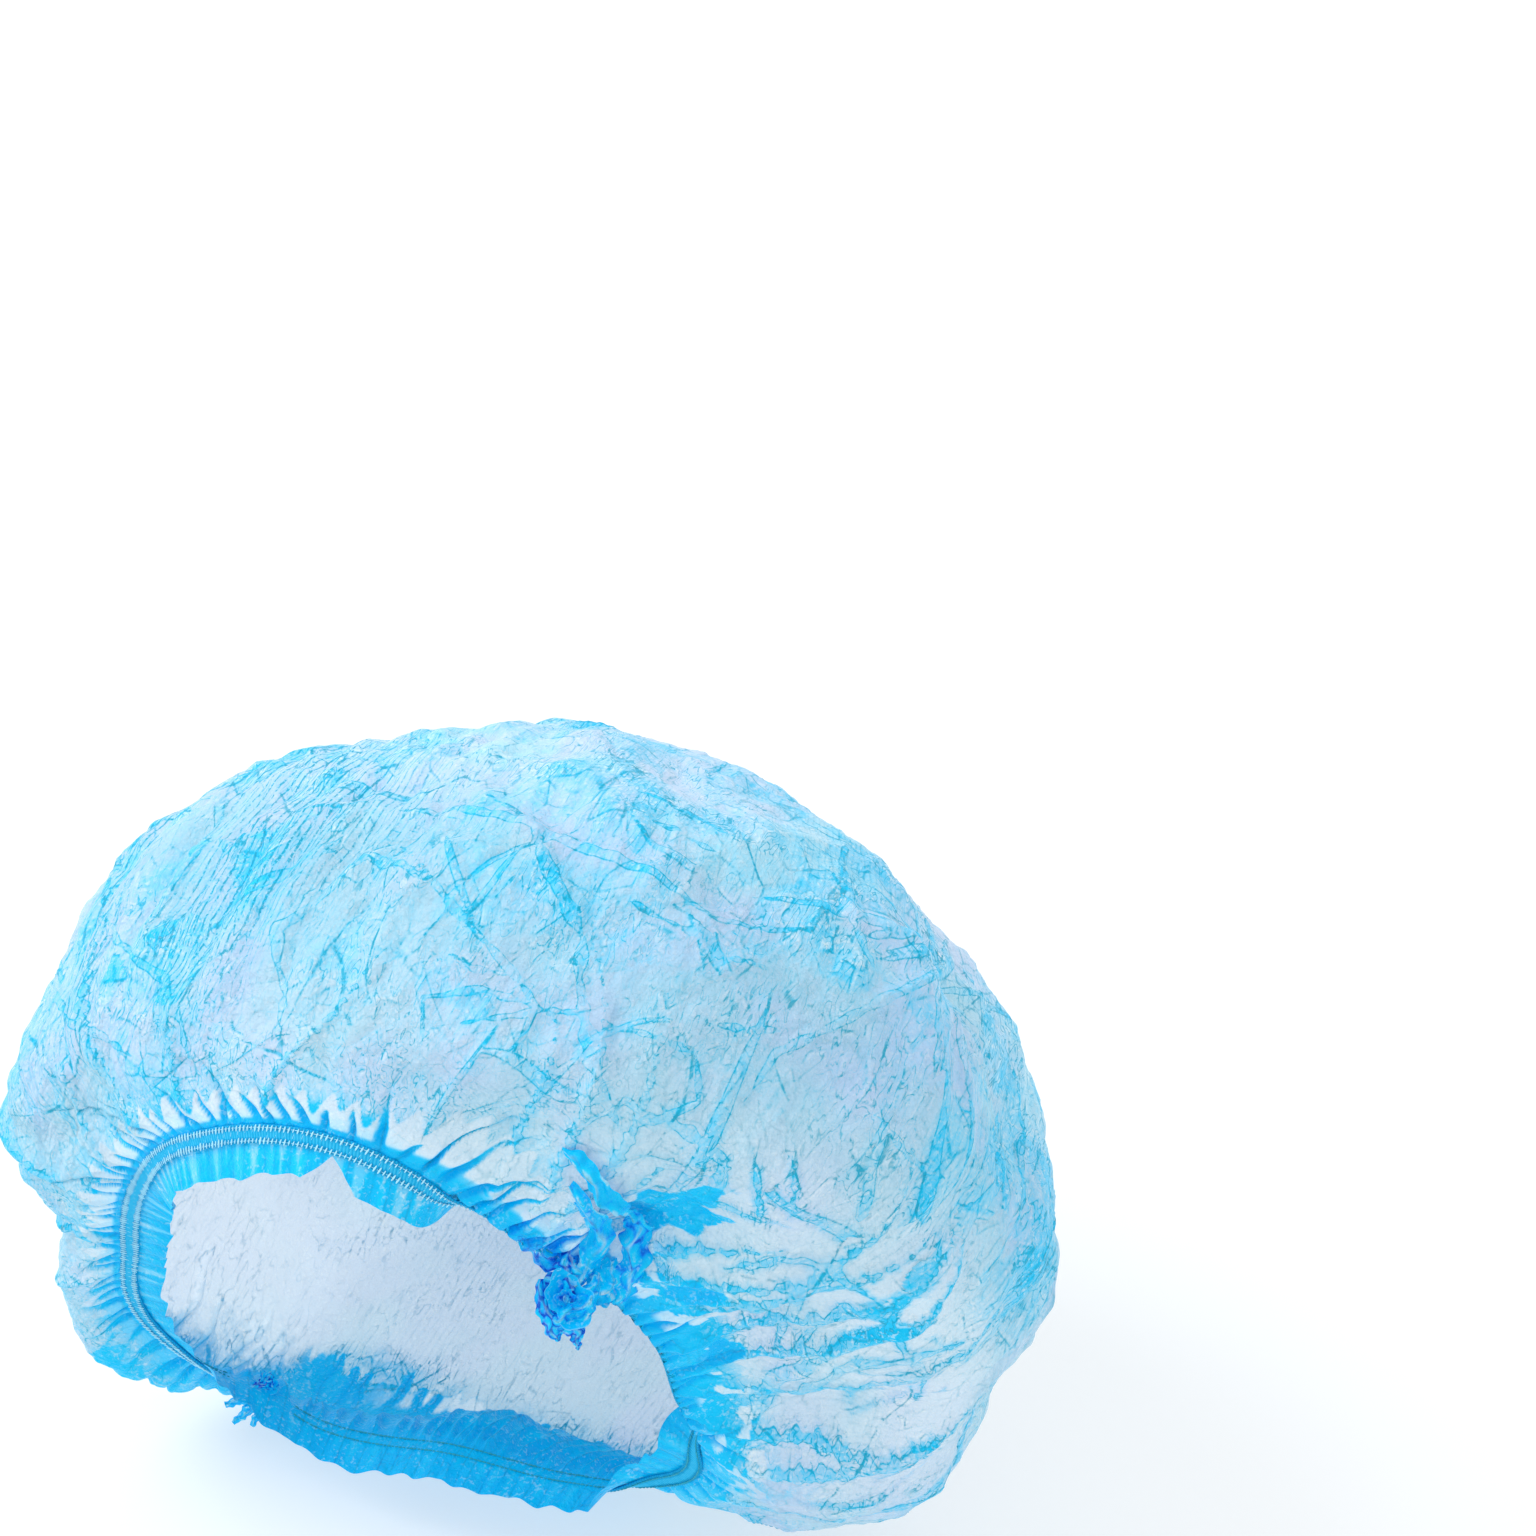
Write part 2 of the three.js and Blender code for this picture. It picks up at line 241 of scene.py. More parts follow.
def to_floor(across, up, ahead):
    tilt = math.radians(MOUTH_TILT)
    y = -up * math.sin(tilt) - ahead * math.cos(tilt)
    height = MIDDLE_HEIGHT + up * math.cos(tilt) - ahead * math.sin(tilt)
    bend = np.where(height < FLOOR_GIVE, height**2 / (2 * FLOOR_GIVE), height - FLOOR_GIVE / 2)
    return np.stack([across, y, np.where(height <= 0, 0, bend)], axis=-1)


def sheet_points(deg, along, past, lift):
    """Points of the sheet, raised by lift along the section's own normal."""
    radius, forward = section(deg, along, past)
    back = section(deg, np.maximum(along - 0.01 * (past <= 0), 0), np.maximum(past - 0.4, 0))
    inward, onward = radius - back[0], forward - back[1]
    length = np.maximum(np.hypot(inward, onward), 1e-6)
    radius = radius + lift * onward / length
    forward = forward - lift * inward / length
    shift = smooth(along, 0.5, 1)
    angle = np.radians(deg)
    return to_floor(
        radius * np.cos(angle) + MOUTH_ACROSS * shift,
        radius * np.sin(angle) + MOUTH_UP * shift,
        forward,
    )


def frame_shift():
    """From this file's axes to the frame's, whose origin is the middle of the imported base."""
    deg, along = np.meshgrid(np.arange(0, 360, 4.0), np.linspace(0, 1, 60))
    own = sheet_points(deg, along, 0 * deg, main_folds(deg, along, 0 * deg)).reshape(-1, 3)
    low, high = (np.array(corner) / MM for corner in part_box("crown"))
    middle = (low + high) / 2 - (own.min(0) + own.max(0)) / 2
    return np.array([middle[0], high[1] - own[:, 1].max(), 0])


class Places:
    """A grid of places on the sheet, with what the relief needs to know about each."""

    def __init__(self, deg, along, past):
        self.deg, self.along = np.meshgrid(deg, along)
        self.past = np.meshgrid(deg, past)[1]
        self.radius = section(self.deg, self.along, self.past)[0]
        folds = main_folds(self.deg, self.along, self.past)
        self.base = sheet_points(self.deg, self.along, self.past, folds)
        self.behind = behind_rim(self.deg, self.along)


CHART_ROWS = 240           # chart of ways over the bag: its rows, and degrees between its columns
CHART_STEP = 10.0


def behind_rim(deg, along):
    """Way over the bag to the elastic's rear edge, in mm."""
    steps = np.linspace(0, 1, CHART_ROWS)
    columns = np.arange(0, 360 + CHART_STEP, CHART_STEP)
    grid_deg, grid_along = np.meshgrid(columns, steps)
    radius, forward = section(grid_deg, grid_along, 0 * grid_deg)
    lengths = np.hypot(np.diff(radius, axis=0), np.diff(forward, axis=0))
    table = np.vstack([np.cumsum(lengths[::-1], axis=0)[::-1], np.zeros(len(columns))])
    place = np.clip(along, 0, 1) * (len(steps) - 1)
    row = np.minimum(place.astype(int), len(steps) - 2)
    side = (deg % 360) / CHART_STEP
    column = np.minimum(side.astype(int), len(columns) - 2)
    f, g = place - row, side - column
    near = table[row, column] * (1 - g) + table[row, column + 1] * g
    far = table[row + 1, column] * (1 - g) + table[row + 1, column + 1] * g
    return near * (1 - f) + far * f


# ---- relief: facets, folds, creases and gathers ----------------------------------------------------

GATHERS = 116              # gathers round the mouth
GATHER_SEED = 11
FACET_SEED = 7
CREASE_SEED = 5
LUMP_SEED = 3
RELIEF_MEAN = 2.4          # how far the relief stands out on the whole
NO_FOLD = 9.0              # way to the edge of a fold where there is none
FOLD_FOOT = 2.6            # half width of a fold's foot, as a share of that of its flat top
SINGLE_TINT = 0.075        # depth of colour of a single layer, and the most that layers reach
MOST_TINT = 0.72
PLAIN_HUE = 0.4            # 0 is cyan and 1 lavender
CLOSE_ALONG = (0.3, 0.5)   # the sheet covers better near the crown: where that begins to end and ends

# Soft lumps of the bag in sizes: length of their waves, height and tint.
LUMPS = (
    (80, 1.4, 0.016),
    (44, 0.9, 0.016),
    (24, 0.5, 0.012),
)
LUMP_WAVES = 5
LUMP_HUE = 0.12

# Crumpled facets in sizes: size, slope of their faces, share of their edges that are folded over,
# half width of those folds, and how much the tint differs from facet to facet.
FACET_SIZES = (
    (38, 0.15, 0.32, (0.8, 2.0), 0.12),
    (17, 0.19, 0.2, (0.6, 1.2), 0.13),
    (8, 0.2, 0.0, (0.8, 0.8), 0.1),
    (4.2, 0.2, 0.0, (0.8, 0.8), 0.0),
)
FACET_STRETCH = 0.62       # facets are longer towards the mouth
FACET_HUE = 0.35
FACET_ORIGIN = 300         # keeps the numbers of the facets' cells above 0

# Loose folds of the bag in sizes: how many, length, half width and height.
FOLD_SIZES = (
    (14, (60, 130), (1.0, 2.0), (1.0, 2.4)),
    (26, (24, 50), (0.7, 1.2), (0.5, 1.2)),
    (90, (14, 46), (0.12, 0.3), (0.3, 0.8)),
)
OUTWARD_SHARE = 0.6        # share of them that stand out; the others are pressed in, and less high
INWARD_HIGH = -0.8
CREASE_PARTS = 5           # straight parts between two places of a main crease

# Main creases of the bag: half width, height, and the places that they pass through, in degrees
# round the mouth and shares of the way from the crown to the elastic.
CREASES = (
    (1.3, 1.4, ((94, 0.51), (100, 0.49), (105, 0.48), (108, 0.52), (111, 0.56), (108, 0.62), (105, 0.68))),
    (1.0, 1.2, ((103, 0.46), (94, 0.51), (90, 0.53), (88, 0.54), (84, 0.56), (80, 0.59), (77, 0.60))),
    (0.7, 0.8, ((91, 0.56), (88, 0.57), (83, 0.56))),
    (0.8, 0.8, ((86, 0.645), (79, 0.59), (75, 0.575))),
    (1.7, 1.8, ((97, 0.40), (90, 0.42), (86, 0.46), (82, 0.49), (79, 0.51), (78, 0.54), (76, 0.57))),
    (2.0, 2.0, ((78, 0.54), (76, 0.57), (74, 0.60), (72, 0.63), (69, 0.67), (64, 0.72))),
    (0.9, 1.0, ((82, 0.355), (74, 0.36), (68, 0.375))),
    (0.8, 0.8, ((80, 0.385), (74, 0.39), (69, 0.395))),
    (0.7, 0.7, ((77, 0.47), (67, 0.48))),
    (0.8, 0.8, ((69, 0.46), (57, 0.42))),
    (0.7, 0.7, ((67, 0.49), (59, 0.47))),
    (0.8, 0.8, ((64, 0.54), (56, 0.51))),
    (0.8, 0.9, ((73, 0.58), (63, 0.57))),
    (1.4, 1.4, ((57, 0.34), (54, 0.38), (52, 0.40), (49, 0.43))),
    (1.2, 1.2, ((54, 0.29), (55, 0.33), (54, 0.37), (51, 0.42))),
    (1.3, 1.4, ((38, 0.34), (44, 0.365), (52, 0.40))),
    (1.0, 1.0, ((38, 0.34), (43, 0.38), (50, 0.415))),
    (1.2, 1.2, ((40, 0.37), (41, 0.42), (39, 0.48))),
    (1.1, 1.2, ((42, 0.40), (47, 0.44), (52, 0.49), (56, 0.53), (56, 0.59))),
    (0.9, 0.9, ((36, 0.36), (35, 0.42), (31, 0.46))),
    (1.6, 1.8, ((63, 0.65), (60, 0.67), (57, 0.67), (53, 0.68), (50, 0.73), (48, 0.79))),
    (0.8, 0.8, ((52, 0.64), (47, 0.69), (43, 0.73))),
    (0.8, 0.8, ((48, 0.62), (42, 0.69))),
    (0.8, 0.8, ((44, 0.53), (38, 0.54), (31, 0.53))),
    (2.2, 2.2, ((345, 0.95), (357, 0.90), (8, 0.86), (16, 0.77), (19, 0.69), (18, 0.64))),
    (1.7, 1.8, ((350, 0.93), (2, 0.85), (12, 0.77), (12, 0.68), (9, 0.61))),
    (1.2, 1.2, ((13, 0.86), (20, 0.83), (30, 0.76), (31, 0.70))),
    (1.2, 1.2, ((15, 0.83), (21, 0.77), (24, 0.73), (20, 0.68))),
    (1.0, 1.0, ((6, 0.83), (11, 0.77), (7, 0.69), (4, 0.65))),
    (1.0, 1.0, ((24, 0.66), (20, 0.69), (12, 0.69), (6, 0.67), (358, 0.69))),
    (1.3, 1.3, ((37, 0.83), (36, 0.76), (32, 0.71), (25, 0.69))),
    (1.2, 1.0, ((150, 0.46), (138, 0.53), (124, 0.62), (119, 0.71), (117, 0.82))),
    (1.0, 0.9, ((104, 0.78), (106, 0.69), (107, 0.61))),
    (1.0, 0.9, ((161, 0.47), (152, 0.54), (134, 0.69), (128, 0.77))),
    (0.9, 0.9, ((88, 0.71), (91, 0.62), (86, 0.59), (80, 0.59), (79, 0.69))),
    (1.2, 1.4, ((68, 0.78), (66, 0.67), (62, 0.68), (60, 0.62), (64, 0.56))),
    (1.0, 1.0, ((17, 0.34), (13, 0.40), (16, 0.49), (17, 0.56))),
)

# Long folds that run from the elastic into the bag: place at the elastic, turn round the mouth over
# their whole run, length, half width and height.
LONG_FOLDS = (
    (2, 9, 95, 2.4, 2.6),
    (11, 16, 96, 2.0, 2.4),
    (19, 7, 82, 2.6, 2.8),
    (27, 12, 96, 1.8, 2.4),
    (33, -6, 74, 2.2, 2.6),
    (40, -12, 56, 2.0, 2.4),
    (45, -9, 44, 2.4, 2.8),
    (51, 7, 52, 2.2, 3.0),
    (56, 14, 84, 2.6, 2.8),
    (60, 20, 88, 2.0, 2.4),
    (67, 12, 62, 1.8, 2.0),
    (345, 10, 84, 2.4, 2.4),
    (353, -7, 60, 2.0, 2.2),
    (331, 6, 60, 2.2, 2.2),
    (118, 10, 76, 2.0, 1.8),
    (133, 12, 92, 2.4, 2.0),
    (147, -5, 64, 1.8, 1.8),
    (160, 9, 74, 2.0, 1.8),
    (176, 5, 52, 1.6, 1.6),
    (190, 4, 60, 1.8, 1.6),
    (103, -6, 60, 1.6, 1.6),
)

LONG_FOLDS_END = 130       # farthest that the long folds and the gathers reach behind the elastic
GATHERS_END = 90
FOLD_TINT = 0.18           # least tint of the long folds beside the large bunched end
LONG_SHARE = 0.24          # share of long gathers in the upper half
LONG_GATHER = 48           # gathers up to this length taper to a point, and longer ones end blunt

# Places round the mouth, each as a middle and a half width in degrees.
SLACK_DEG = 66             # slack folds before the large bunched end
SLACK_HALF = 16
FAN_DEG = 20               # fan of long folds
FAN_HALF = 46
BOTTOM = (268, 54)         # tightest bunching
TIGHT_RUFFLE = (284, 70)
# Beside the large bunched end the colour is deepest: bunched layers, darkened further by painted shade in
# the nook beside the knot.
SHADED_WEDGE = (52, 10)           # deepest colour, beside the large bunched end
LEFT_DEG = 238             # from here to the left the lining is mottled and smooth farther out

# Flat layers beside the large bunched end: middle, half size round the mouth and from crown to
# elastic, and how many points their ragged outline has.
STAINS = (
    (47.5, 0.85, 5.4, 0.058, 5),
    (49, 0.785, 2.6, 0.060, 3),
    (44, 0.80, 1.6, 0.036, 3),
    (34, 0.89, 3.0, 0.040, 4),
    (14, 0.925, 3.4, 0.030, 4),
)

# Patches of tint: middle and half width round the mouth, where they begin to end and end from crown
# to elastic, how deep they are, and how far they turn to lavender.
SHADES = (
    (350, 52, (0.66, 0.8), 0.05, 0.15),
    (95, 80, (0.28, 0.5), 0.05, 0.3),
)

# Patches where the folded pleats show: middle and half width round the mouth, the same from crown
# to elastic, how strongly they show, and height of the puffs between them.
MEMORY_PATCHES = (
    (128, 30, 0.5, 0.22, 0.75, 2.6),
    (178, 22, 0.62, 0.16, 0.3, 1.6),
    (18, 20, 0.5, 0.12, 0.25, 1.2),
)
MEMORY_EVERYWHERE = 0.22   # how strongly the pleats show outside the patches
MEMORY_TINT = 0.05
MEMORY_STEP = 1.9          # mm between the marks of two pleats
MM_PER_DEG = 2.2
PUFFS_ROUND = 58

# The sheet that lies on the floor is pulled smooth: middle, half width and blend round the mouth,
# and the shares of the way from the crown to the elastic over which this sets in and ends.
SMOOTHED = {"deg": 262, "half": 76, "blend": 20, "starts": (0.2, 0.34), "ends": (0.56, 0.70)}

# How far the bunched sheet of the mouth's lower side reaches into the bag: places round the mouth,
# and shares of the way from the crown to the elastic.
BUNCHED_EDGE = (
    (204, 1.0), (211, 0.68), (216, 0.62), (221, 0.59), (231, 0.585), (238, 0.615), (242, 0.67),
    (259, 0.66), (268, 0.675), (273, 0.70), (290, 0.76), (304, 0.92), (316, 1.0),
)

# Pucker where a seam is pulled: folds that run together at one place of the bag.
PUCKER = {
    "deg": 37.5, "along": 0.36, "deep": 5, "tint": 0.18,
    "count": 12, "long": (24, 64), "wide": 1.7, "high": 1.6,
}


def cell_number(cells, seed):
    """A repeatable random whole number for each cell of a grid."""
    mixed = np.full(cells.shape[:-1], seed * 2654435761 % 2**32, np.uint32)
    for axis, prime in enumerate((374761393, 668265263, 2246822519)):
        mixed = (mixed ^ cells[..., axis].astype(np.uint32)) * np.uint32(prime)
        mixed ^= mixed >> np.uint32(15)
    return mixed * np.uint32(2654435761) ^ (mixed >> np.uint32(13))


def share(number, shift=0):
    """Turns a random whole number into one from 0 to 1."""
    return ((number >> np.uint32(shift)) & np.uint32(1023)) / np.float32(1023)


class Facets:
    """Crumpled facets of one size, as cells round scattered points."""

    def __init__(self, points, swell, size, folded, widths, seed):
        place = (points / size).astype(np.float32)
        home = np.floor(place).astype(np.int32)
        shape = home.shape[:-1]
        steps = [np.array(step, np.int32) for step in itertools.product((-1, 0, 1), repeat=3)]
        closest = np.full(shape, np.inf, np.float32)
        site, cell, own = np.zeros_like(place), np.zeros_like(home), np.zeros(shape, np.uint32)
        for step in steps:
            number, spot = self.scatter(home + step, seed)
            away = ((spot - place) ** 2).sum(-1)
            nearer = away < closest
            closest[nearer], site[nearer] = away[nearer], spot[nearer]
            cell[nearer], own[nearer] = (home + step)[nearer], number[nearer]
        edge = np.full(shape, np.inf, np.float32)
        self.fold = np.full(shape, NO_FOLD, np.float32)
        partner = np.zeros(shape, np.uint32)
        for step in steps:
            if not step.any():
                continue
            number, spot = self.scatter(cell + step, seed)
            gap = spot - site
            way = (((site + spot) / 2 - place) * gap).sum(-1) / np.sqrt((gap**2).sum(-1))
            pair = (own ^ number) * np.uint32(2654435761)
            low, high = widths
            half = low + (high - low) * share(pair, 12)
            banded = (share(pair, 4) < folded) & ((own & 1) == (number & 1))
            self.fold = np.minimum(self.fold, np.where(banded, way * size - half * swell, NO_FOLD))
            nearer = way < edge
            edge[nearer], partner[nearer] = way[nearer], number[nearer]
        self.signed = np.where(own & 1, 1, -1) * edge * size
        pair = (own ^ partner) * np.uint32(2654435761)
        opposite = (own & 1) != (partner & 1)
        self.line = np.where(opposite, smooth(share(pair, 8), 0.25, 1.0), 0)
        self.tone = share(own, 6)

    @staticmethod
    def scatter(cells, seed):
        """A random number for each cell, and its point somewhere inside it."""
        number = cell_number(cells, seed)
        jitter = np.stack([share(number, shift) for shift in (0, 10, 20)], axis=-1)
        return number, cells + jitter


class Relief:
    """What the sheet does at each place: lift in mm, layers, and its folds and creases."""

    def __init__(self, at):
        self.at = at
        self.bag = at.past <= 0
        self.lift = main_folds(at.deg, at.along, at.past)
        self.gathered = np.full_like(self.lift, SINGLE_TINT)
        self.hue = np.full_like(self.lift, PLAIN_HUE)
        self.fold = np.full_like(self.lift, NO_FOLD)
        # Paler where the sheet is clear and single; the same attribute also carries painted light:
        # highlights along the bunched ends' ridges and a brightening of the bag's shaded inside.
        self.clear_and_lit = np.zeros_like(self.lift)
        self.close = 1 - smooth(at.along, *CLOSE_ALONG)
        self.add_lumps()
        self.add_facets()
        self.add_creases()
        self.add_loose_folds()
        self.add_pucker()
        self.add_shade()
        self.add_pleat_memory()
        self.add_long_folds()
        self.add_gathers()
        self.pull_smooth()

    def attributes(self):
        return {
            "layers": np.stack([self.gathered, self.fold, self.hue], axis=-1),
            "creases": np.stack([self.long_signed, self.short_signed, self.clear_and_lit], axis=-1),
            "lines": np.stack([self.long_line, self.short_line, self.small_signed], axis=-1),
            "crinkles": np.stack([self.fine_signed, self.fine_line, self.fine_tone], axis=-1),
            "pleats": np.stack([self.at.deg * MM_PER_DEG, self.memory, self.close], axis=-1),
        }

    def add_lumps(self):
        """Soft unevenness of the whole bag, and broad patches of colour."""
        self.lift -= RELIEF_MEAN * smooth(self.at.behind, 8, 40)
        random = np.random.default_rng(LUMP_SEED)
        for wave, high, tint in LUMPS:
            for _ in range(LUMP_WAVES):
                direction = random.normal(size=3)
                direction *= 2 * math.pi / (wave * np.linalg.norm(direction))
                swing = np.sin(self.at.base @ direction + random.uniform(0, 2 * math.pi))
                self.lift += high / 2 * swing * smooth(self.at.behind, 0, 30)
                self.gathered += tint * swing
                self.hue += LUMP_HUE * np.sin(self.at.base @ direction[[1, 2, 0]] + wave)

    def add_facets(self):
        """Crumpled facets of all sizes: their slopes, the folds on their edges, and their colours."""
        tilt = math.radians(MOUTH_TILT)
        mouth_way = np.array([0, -math.cos(tilt), -math.sin(tilt)])
        ahead = self.at.base @ mouth_way
        drawn = self.at.base - (1 - FACET_STRETCH) * ahead[..., None] * mouth_way
        bent = drawn + 4.5 * np.sin(drawn[..., (1, 2, 0)] / 13 + 1)
        bent = bent + 1.2 * np.sin(drawn[..., (2, 0, 1)] / 4.1)
        swell = 0.45 + 0.9 * np.sin(bent[..., 0] / 17 + 2 * np.sin(bent[..., 2] / 23))
        loose = smooth(self.at.behind, 4, 22)
        layers = []
        for number, (size, slope, folded, widths, tint) in enumerate(FACET_SIZES):
            facets = Facets(bent + FACET_ORIGIN, swell, size, folded, widths, FACET_SEED + number)
            self.lift += slope * facets.signed * loose
            self.gathered += tint * (facets.tone - 0.5) * loose
            self.add_fold(facets.fold + 6 * (1 - loose), 0.5 * loose)
            layers.append(facets)
        long, short, small, fine = layers
        self.long_signed, self.short_signed = long.signed, short.signed
        self.small_signed, self.fine_signed = small.signed, fine.signed
        self.long_line, self.short_line = long.line * loose, short.line * loose
        self.fine_line = fine.line * loose
        self.fine_tone = fine.tone
        self.hue += FACET_HUE * (long.tone - 0.5) * loose

    def add_fold(self, edge, high):
        """A strip folded over: a low step, whose edge is where edge is 0."""
        self.lift += high * (1 - smooth(edge, -0.7, 0.7))
        self.fold = np.minimum(self.fold, edge)

    def add_straight_fold(self, centre, way, across, length, half, high, bend):
        """A narrow fold, bent a little, that tapers to both ends."""
        offset = self.at.base - centre
        near = (offset**2).sum(-1) < (length * 0.6 + 6) ** 2
        if not near.any():
            return
        here = offset[near]
        run = here @ way
        side = here @ across + bend * run**2 / length
        taper = 1 - (2 * run / length) ** 2
        edge = np.abs(side) - half * taper
        slope = np.clip(1 - np.abs(side) / (FOLD_FOOT * half), 0, 1)
        self.lift[near] += high * slope * np.clip(taper, 0, 1)
        self.fold[near] = np.minimum(self.fold[near], edge)

    def add_creases(self):
        """The main creases, each a smooth line through its places."""
        for half, high, places in CREASES:
            deg, along = np.array(places, float).T
            deg = np.degrees(np.unwrap(np.radians(deg)))
            corner = np.arange(len(deg))
            fine = np.linspace(0, len(deg) - 1, CREASE_PARTS * (len(deg) - 1) + 1)
            deg, along = np.interp(fine, corner, deg), np.interp(fine, corner, along)
            line = sheet_points(deg, along, 0 * deg, main_folds(deg, along, 0 * deg))
            inside = (self.at.base > line.min(0) - NO_FOLD) & (self.at.base < line.max(0) + NO_FOLD)
            box = inside.all(-1)
            if not box.any():
                continue
            here = self.at.base[box]
            away, share_way = way_to_line(here, line)
            taper = np.clip(4.5 * share_way * (1 - share_way) + 0.1, 0, 1)
            uneven = 1 + 0.5 * np.sin(share_way * 9 + half * 40) * np.cos(share_way * 23 + half * 17)
            x, y, z = here.T
            ragged = 0.35 * np.sin(x / 1.3 + 2 * np.sin(z / 2.1)) * np.sin(y / 1.9)
            self.lift[box] += 0.6 * high * np.clip(1 - away / (2.8 * half), 0, 1) * taper
            self.fold[box] = np.minimum(self.fold[box], away + ragged - half * taper * uneven)

    def add_loose_folds(self):
        """Folds scattered over the whole bag."""
        random = np.random.default_rng(CREASE_SEED)
        for count, lengths, widths, heights in FOLD_SIZES:
            for _ in range(count):
                cosine = random.uniform(-0.98, 0.40)
                deg = random.uniform(0, 360)
                along = math.acos(-cosine) / math.pi if cosine < 0 else 0.5 + cosine * 0.9
                centre, down, round_way = surface_frame(deg, along)
                way, across = turned_way(down, round_way, random.normal(0, 0.7))
                length, half, high = (random.uniform(*limits) for limits in (lengths, widths, heights))
                high *= 1 if random.random() < OUTWARD_SHARE else INWARD_HIGH
                self.add_straight_fold(centre, way, across, length, half, high, random.normal(0, 0.22))

    def add_pucker(self):
        """The folds that run together where the sheet is pinched."""
        random = np.random.default_rng(CREASE_SEED + 1)
        centre, down, round_way = surface_frame(PUCKER["deg"], PUCKER["along"])
        for number in range(PUCKER["count"]):
            angle = 2 * math.pi * (number + random.uniform(-0.3, 0.3)) / PUCKER["count"]
            length = random.uniform(*PUCKER["long"])
            way, across = turned_way(down, round_way, angle)
            high = PUCKER["high"] * random.uniform(0.6, 1.2)
            half = PUCKER["wide"] * random.uniform(0.6, 1.2)
            self.add_straight_fold(centre + way * length * 0.46, way, across, length, half, high, 0.08)
        distance = np.linalg.norm(self.at.base - centre, axis=-1)
        self.lift -= PUCKER["deep"] * bell(distance, 16)
        self.gathered += PUCKER["tint"] * bell(distance, 6)

    def add_shade(self):
        for deg, half, ends, tint, hue in SHADES:
            shade = bell_round(self.at.deg, deg, half) * (1 - smooth(self.at.along, *ends))
            self.gathered += tint * shade
            self.hue += hue * shade

    def add_pleat_memory(self):
        """Marks that the folded pleats have left, and the puffs between the strongest of them."""
        at = self.at
        wander = 0.5 + 0.5 * np.sin(at.base[..., 0] / 11 + 2 * np.sin(at.base[..., 2] / 15))
        puffs = np.abs(np.sin(np.radians(at.deg) * PUFFS_ROUND / 2 + 1.5 * np.sin(at.along * 9)))
        self.memory = MEMORY_EVERYWHERE * wander
        for deg, half_deg, along, half_along, strength, high in MEMORY_PATCHES:
            patch = bell_round(at.deg, deg, half_deg) * bell(at.along - along, half_along, 4)
            self.memory += strength * patch * wander
            self.lift += high * patch * (puffs - 0.6)
            self.gathered += MEMORY_TINT * patch * wander
        self.memory *= smooth(at.behind, 8, 25)

    def add_long_folds(self):
        """Folds from the elastic into the bag, and the clear places between those beside the large end."""
        at = self.at
        if at.behind.min() > LONG_FOLDS_END:
            return
        fan = fan_share(at.deg)
        for number, (place, turn, length, half, high) in enumerate(LONG_FOLDS):
            run = np.clip(at.behind / length, 0, 1)
            sway = 1.6 * np.sin(at.behind / 9 + number * 2.1) * run
            across = np.abs(np.radians(turn_between(at.deg, place + turn * run**1.3)) * at.radius + sway)
            grow = half * (0.6 + 0.25 * run)
            ends = np.sin(math.pi * run**0.6)
            self.lift += high * np.clip(1 - across / (FOLD_FOOT * grow), 0, 1) * ends * self.bag
            ragged = 0.5 * np.sin(at.behind * 1.3 + number) + 0.3 * np.sin(at.behind * 2.9 + 2 * number)
            edge = across - grow * (1.25 * ends - 0.25) + ragged + 6 * (run >= 1) + NO_FOLD * ~self.bag
            self.fold = np.minimum(self.fold, edge)
            carried = (1 - smooth(edge, -0.3, 0.3)) * (1 - smooth(at.behind, 16, 70)) * self.bag
            self.gathered = np.maximum(self.gathered, FOLD_TINT * carried * fan)
        shut = 0.25 * smooth(-turn_between(at.deg, 0), 0, 12)
        clear = fan * between(at.behind, 14, 28, 52, 84) * (1 - shut) * smooth(self.fold, 0.4, 2.4)
        self.clear_and_lit += 0.9 * clear * self.bag

    def add_gathers(self):
        """Valleys that run out of the elastic on both sides, with the sheet puffed between them."""
        at = self.at
        if at.behind.min() > GATHERS_END:
            return
        free = np.maximum(at.past - BAND_WIDTH, 0)
        valley = self.cut_valleys(free)
        fan, bottom = fan_share(at.deg), bottom_share(at.deg)
        slack = bell_round(at.deg, SLACK_DEG, SLACK_HALF)
        tight = bell_round(at.deg, *TIGHT_RUFFLE, 8)
        bunched, into = bunched_share(at.deg, at.along, valley)
        flat = stain(at.deg, at.along)
        self.lift += 1.5 * bell(at.behind - 7, 6.5) * (1 - valley) * (1 - 0.6 * fan) * self.bag
        self.tint_gathers(free, valley, fan, bottom, slack, tight, bunched, flat)
        self.clear_gathers(free, valley, fan, bottom, slack, tight, bunched, into)
        self.clear_and_lit *= 1 - smooth(flat, 0.1, 0.3)

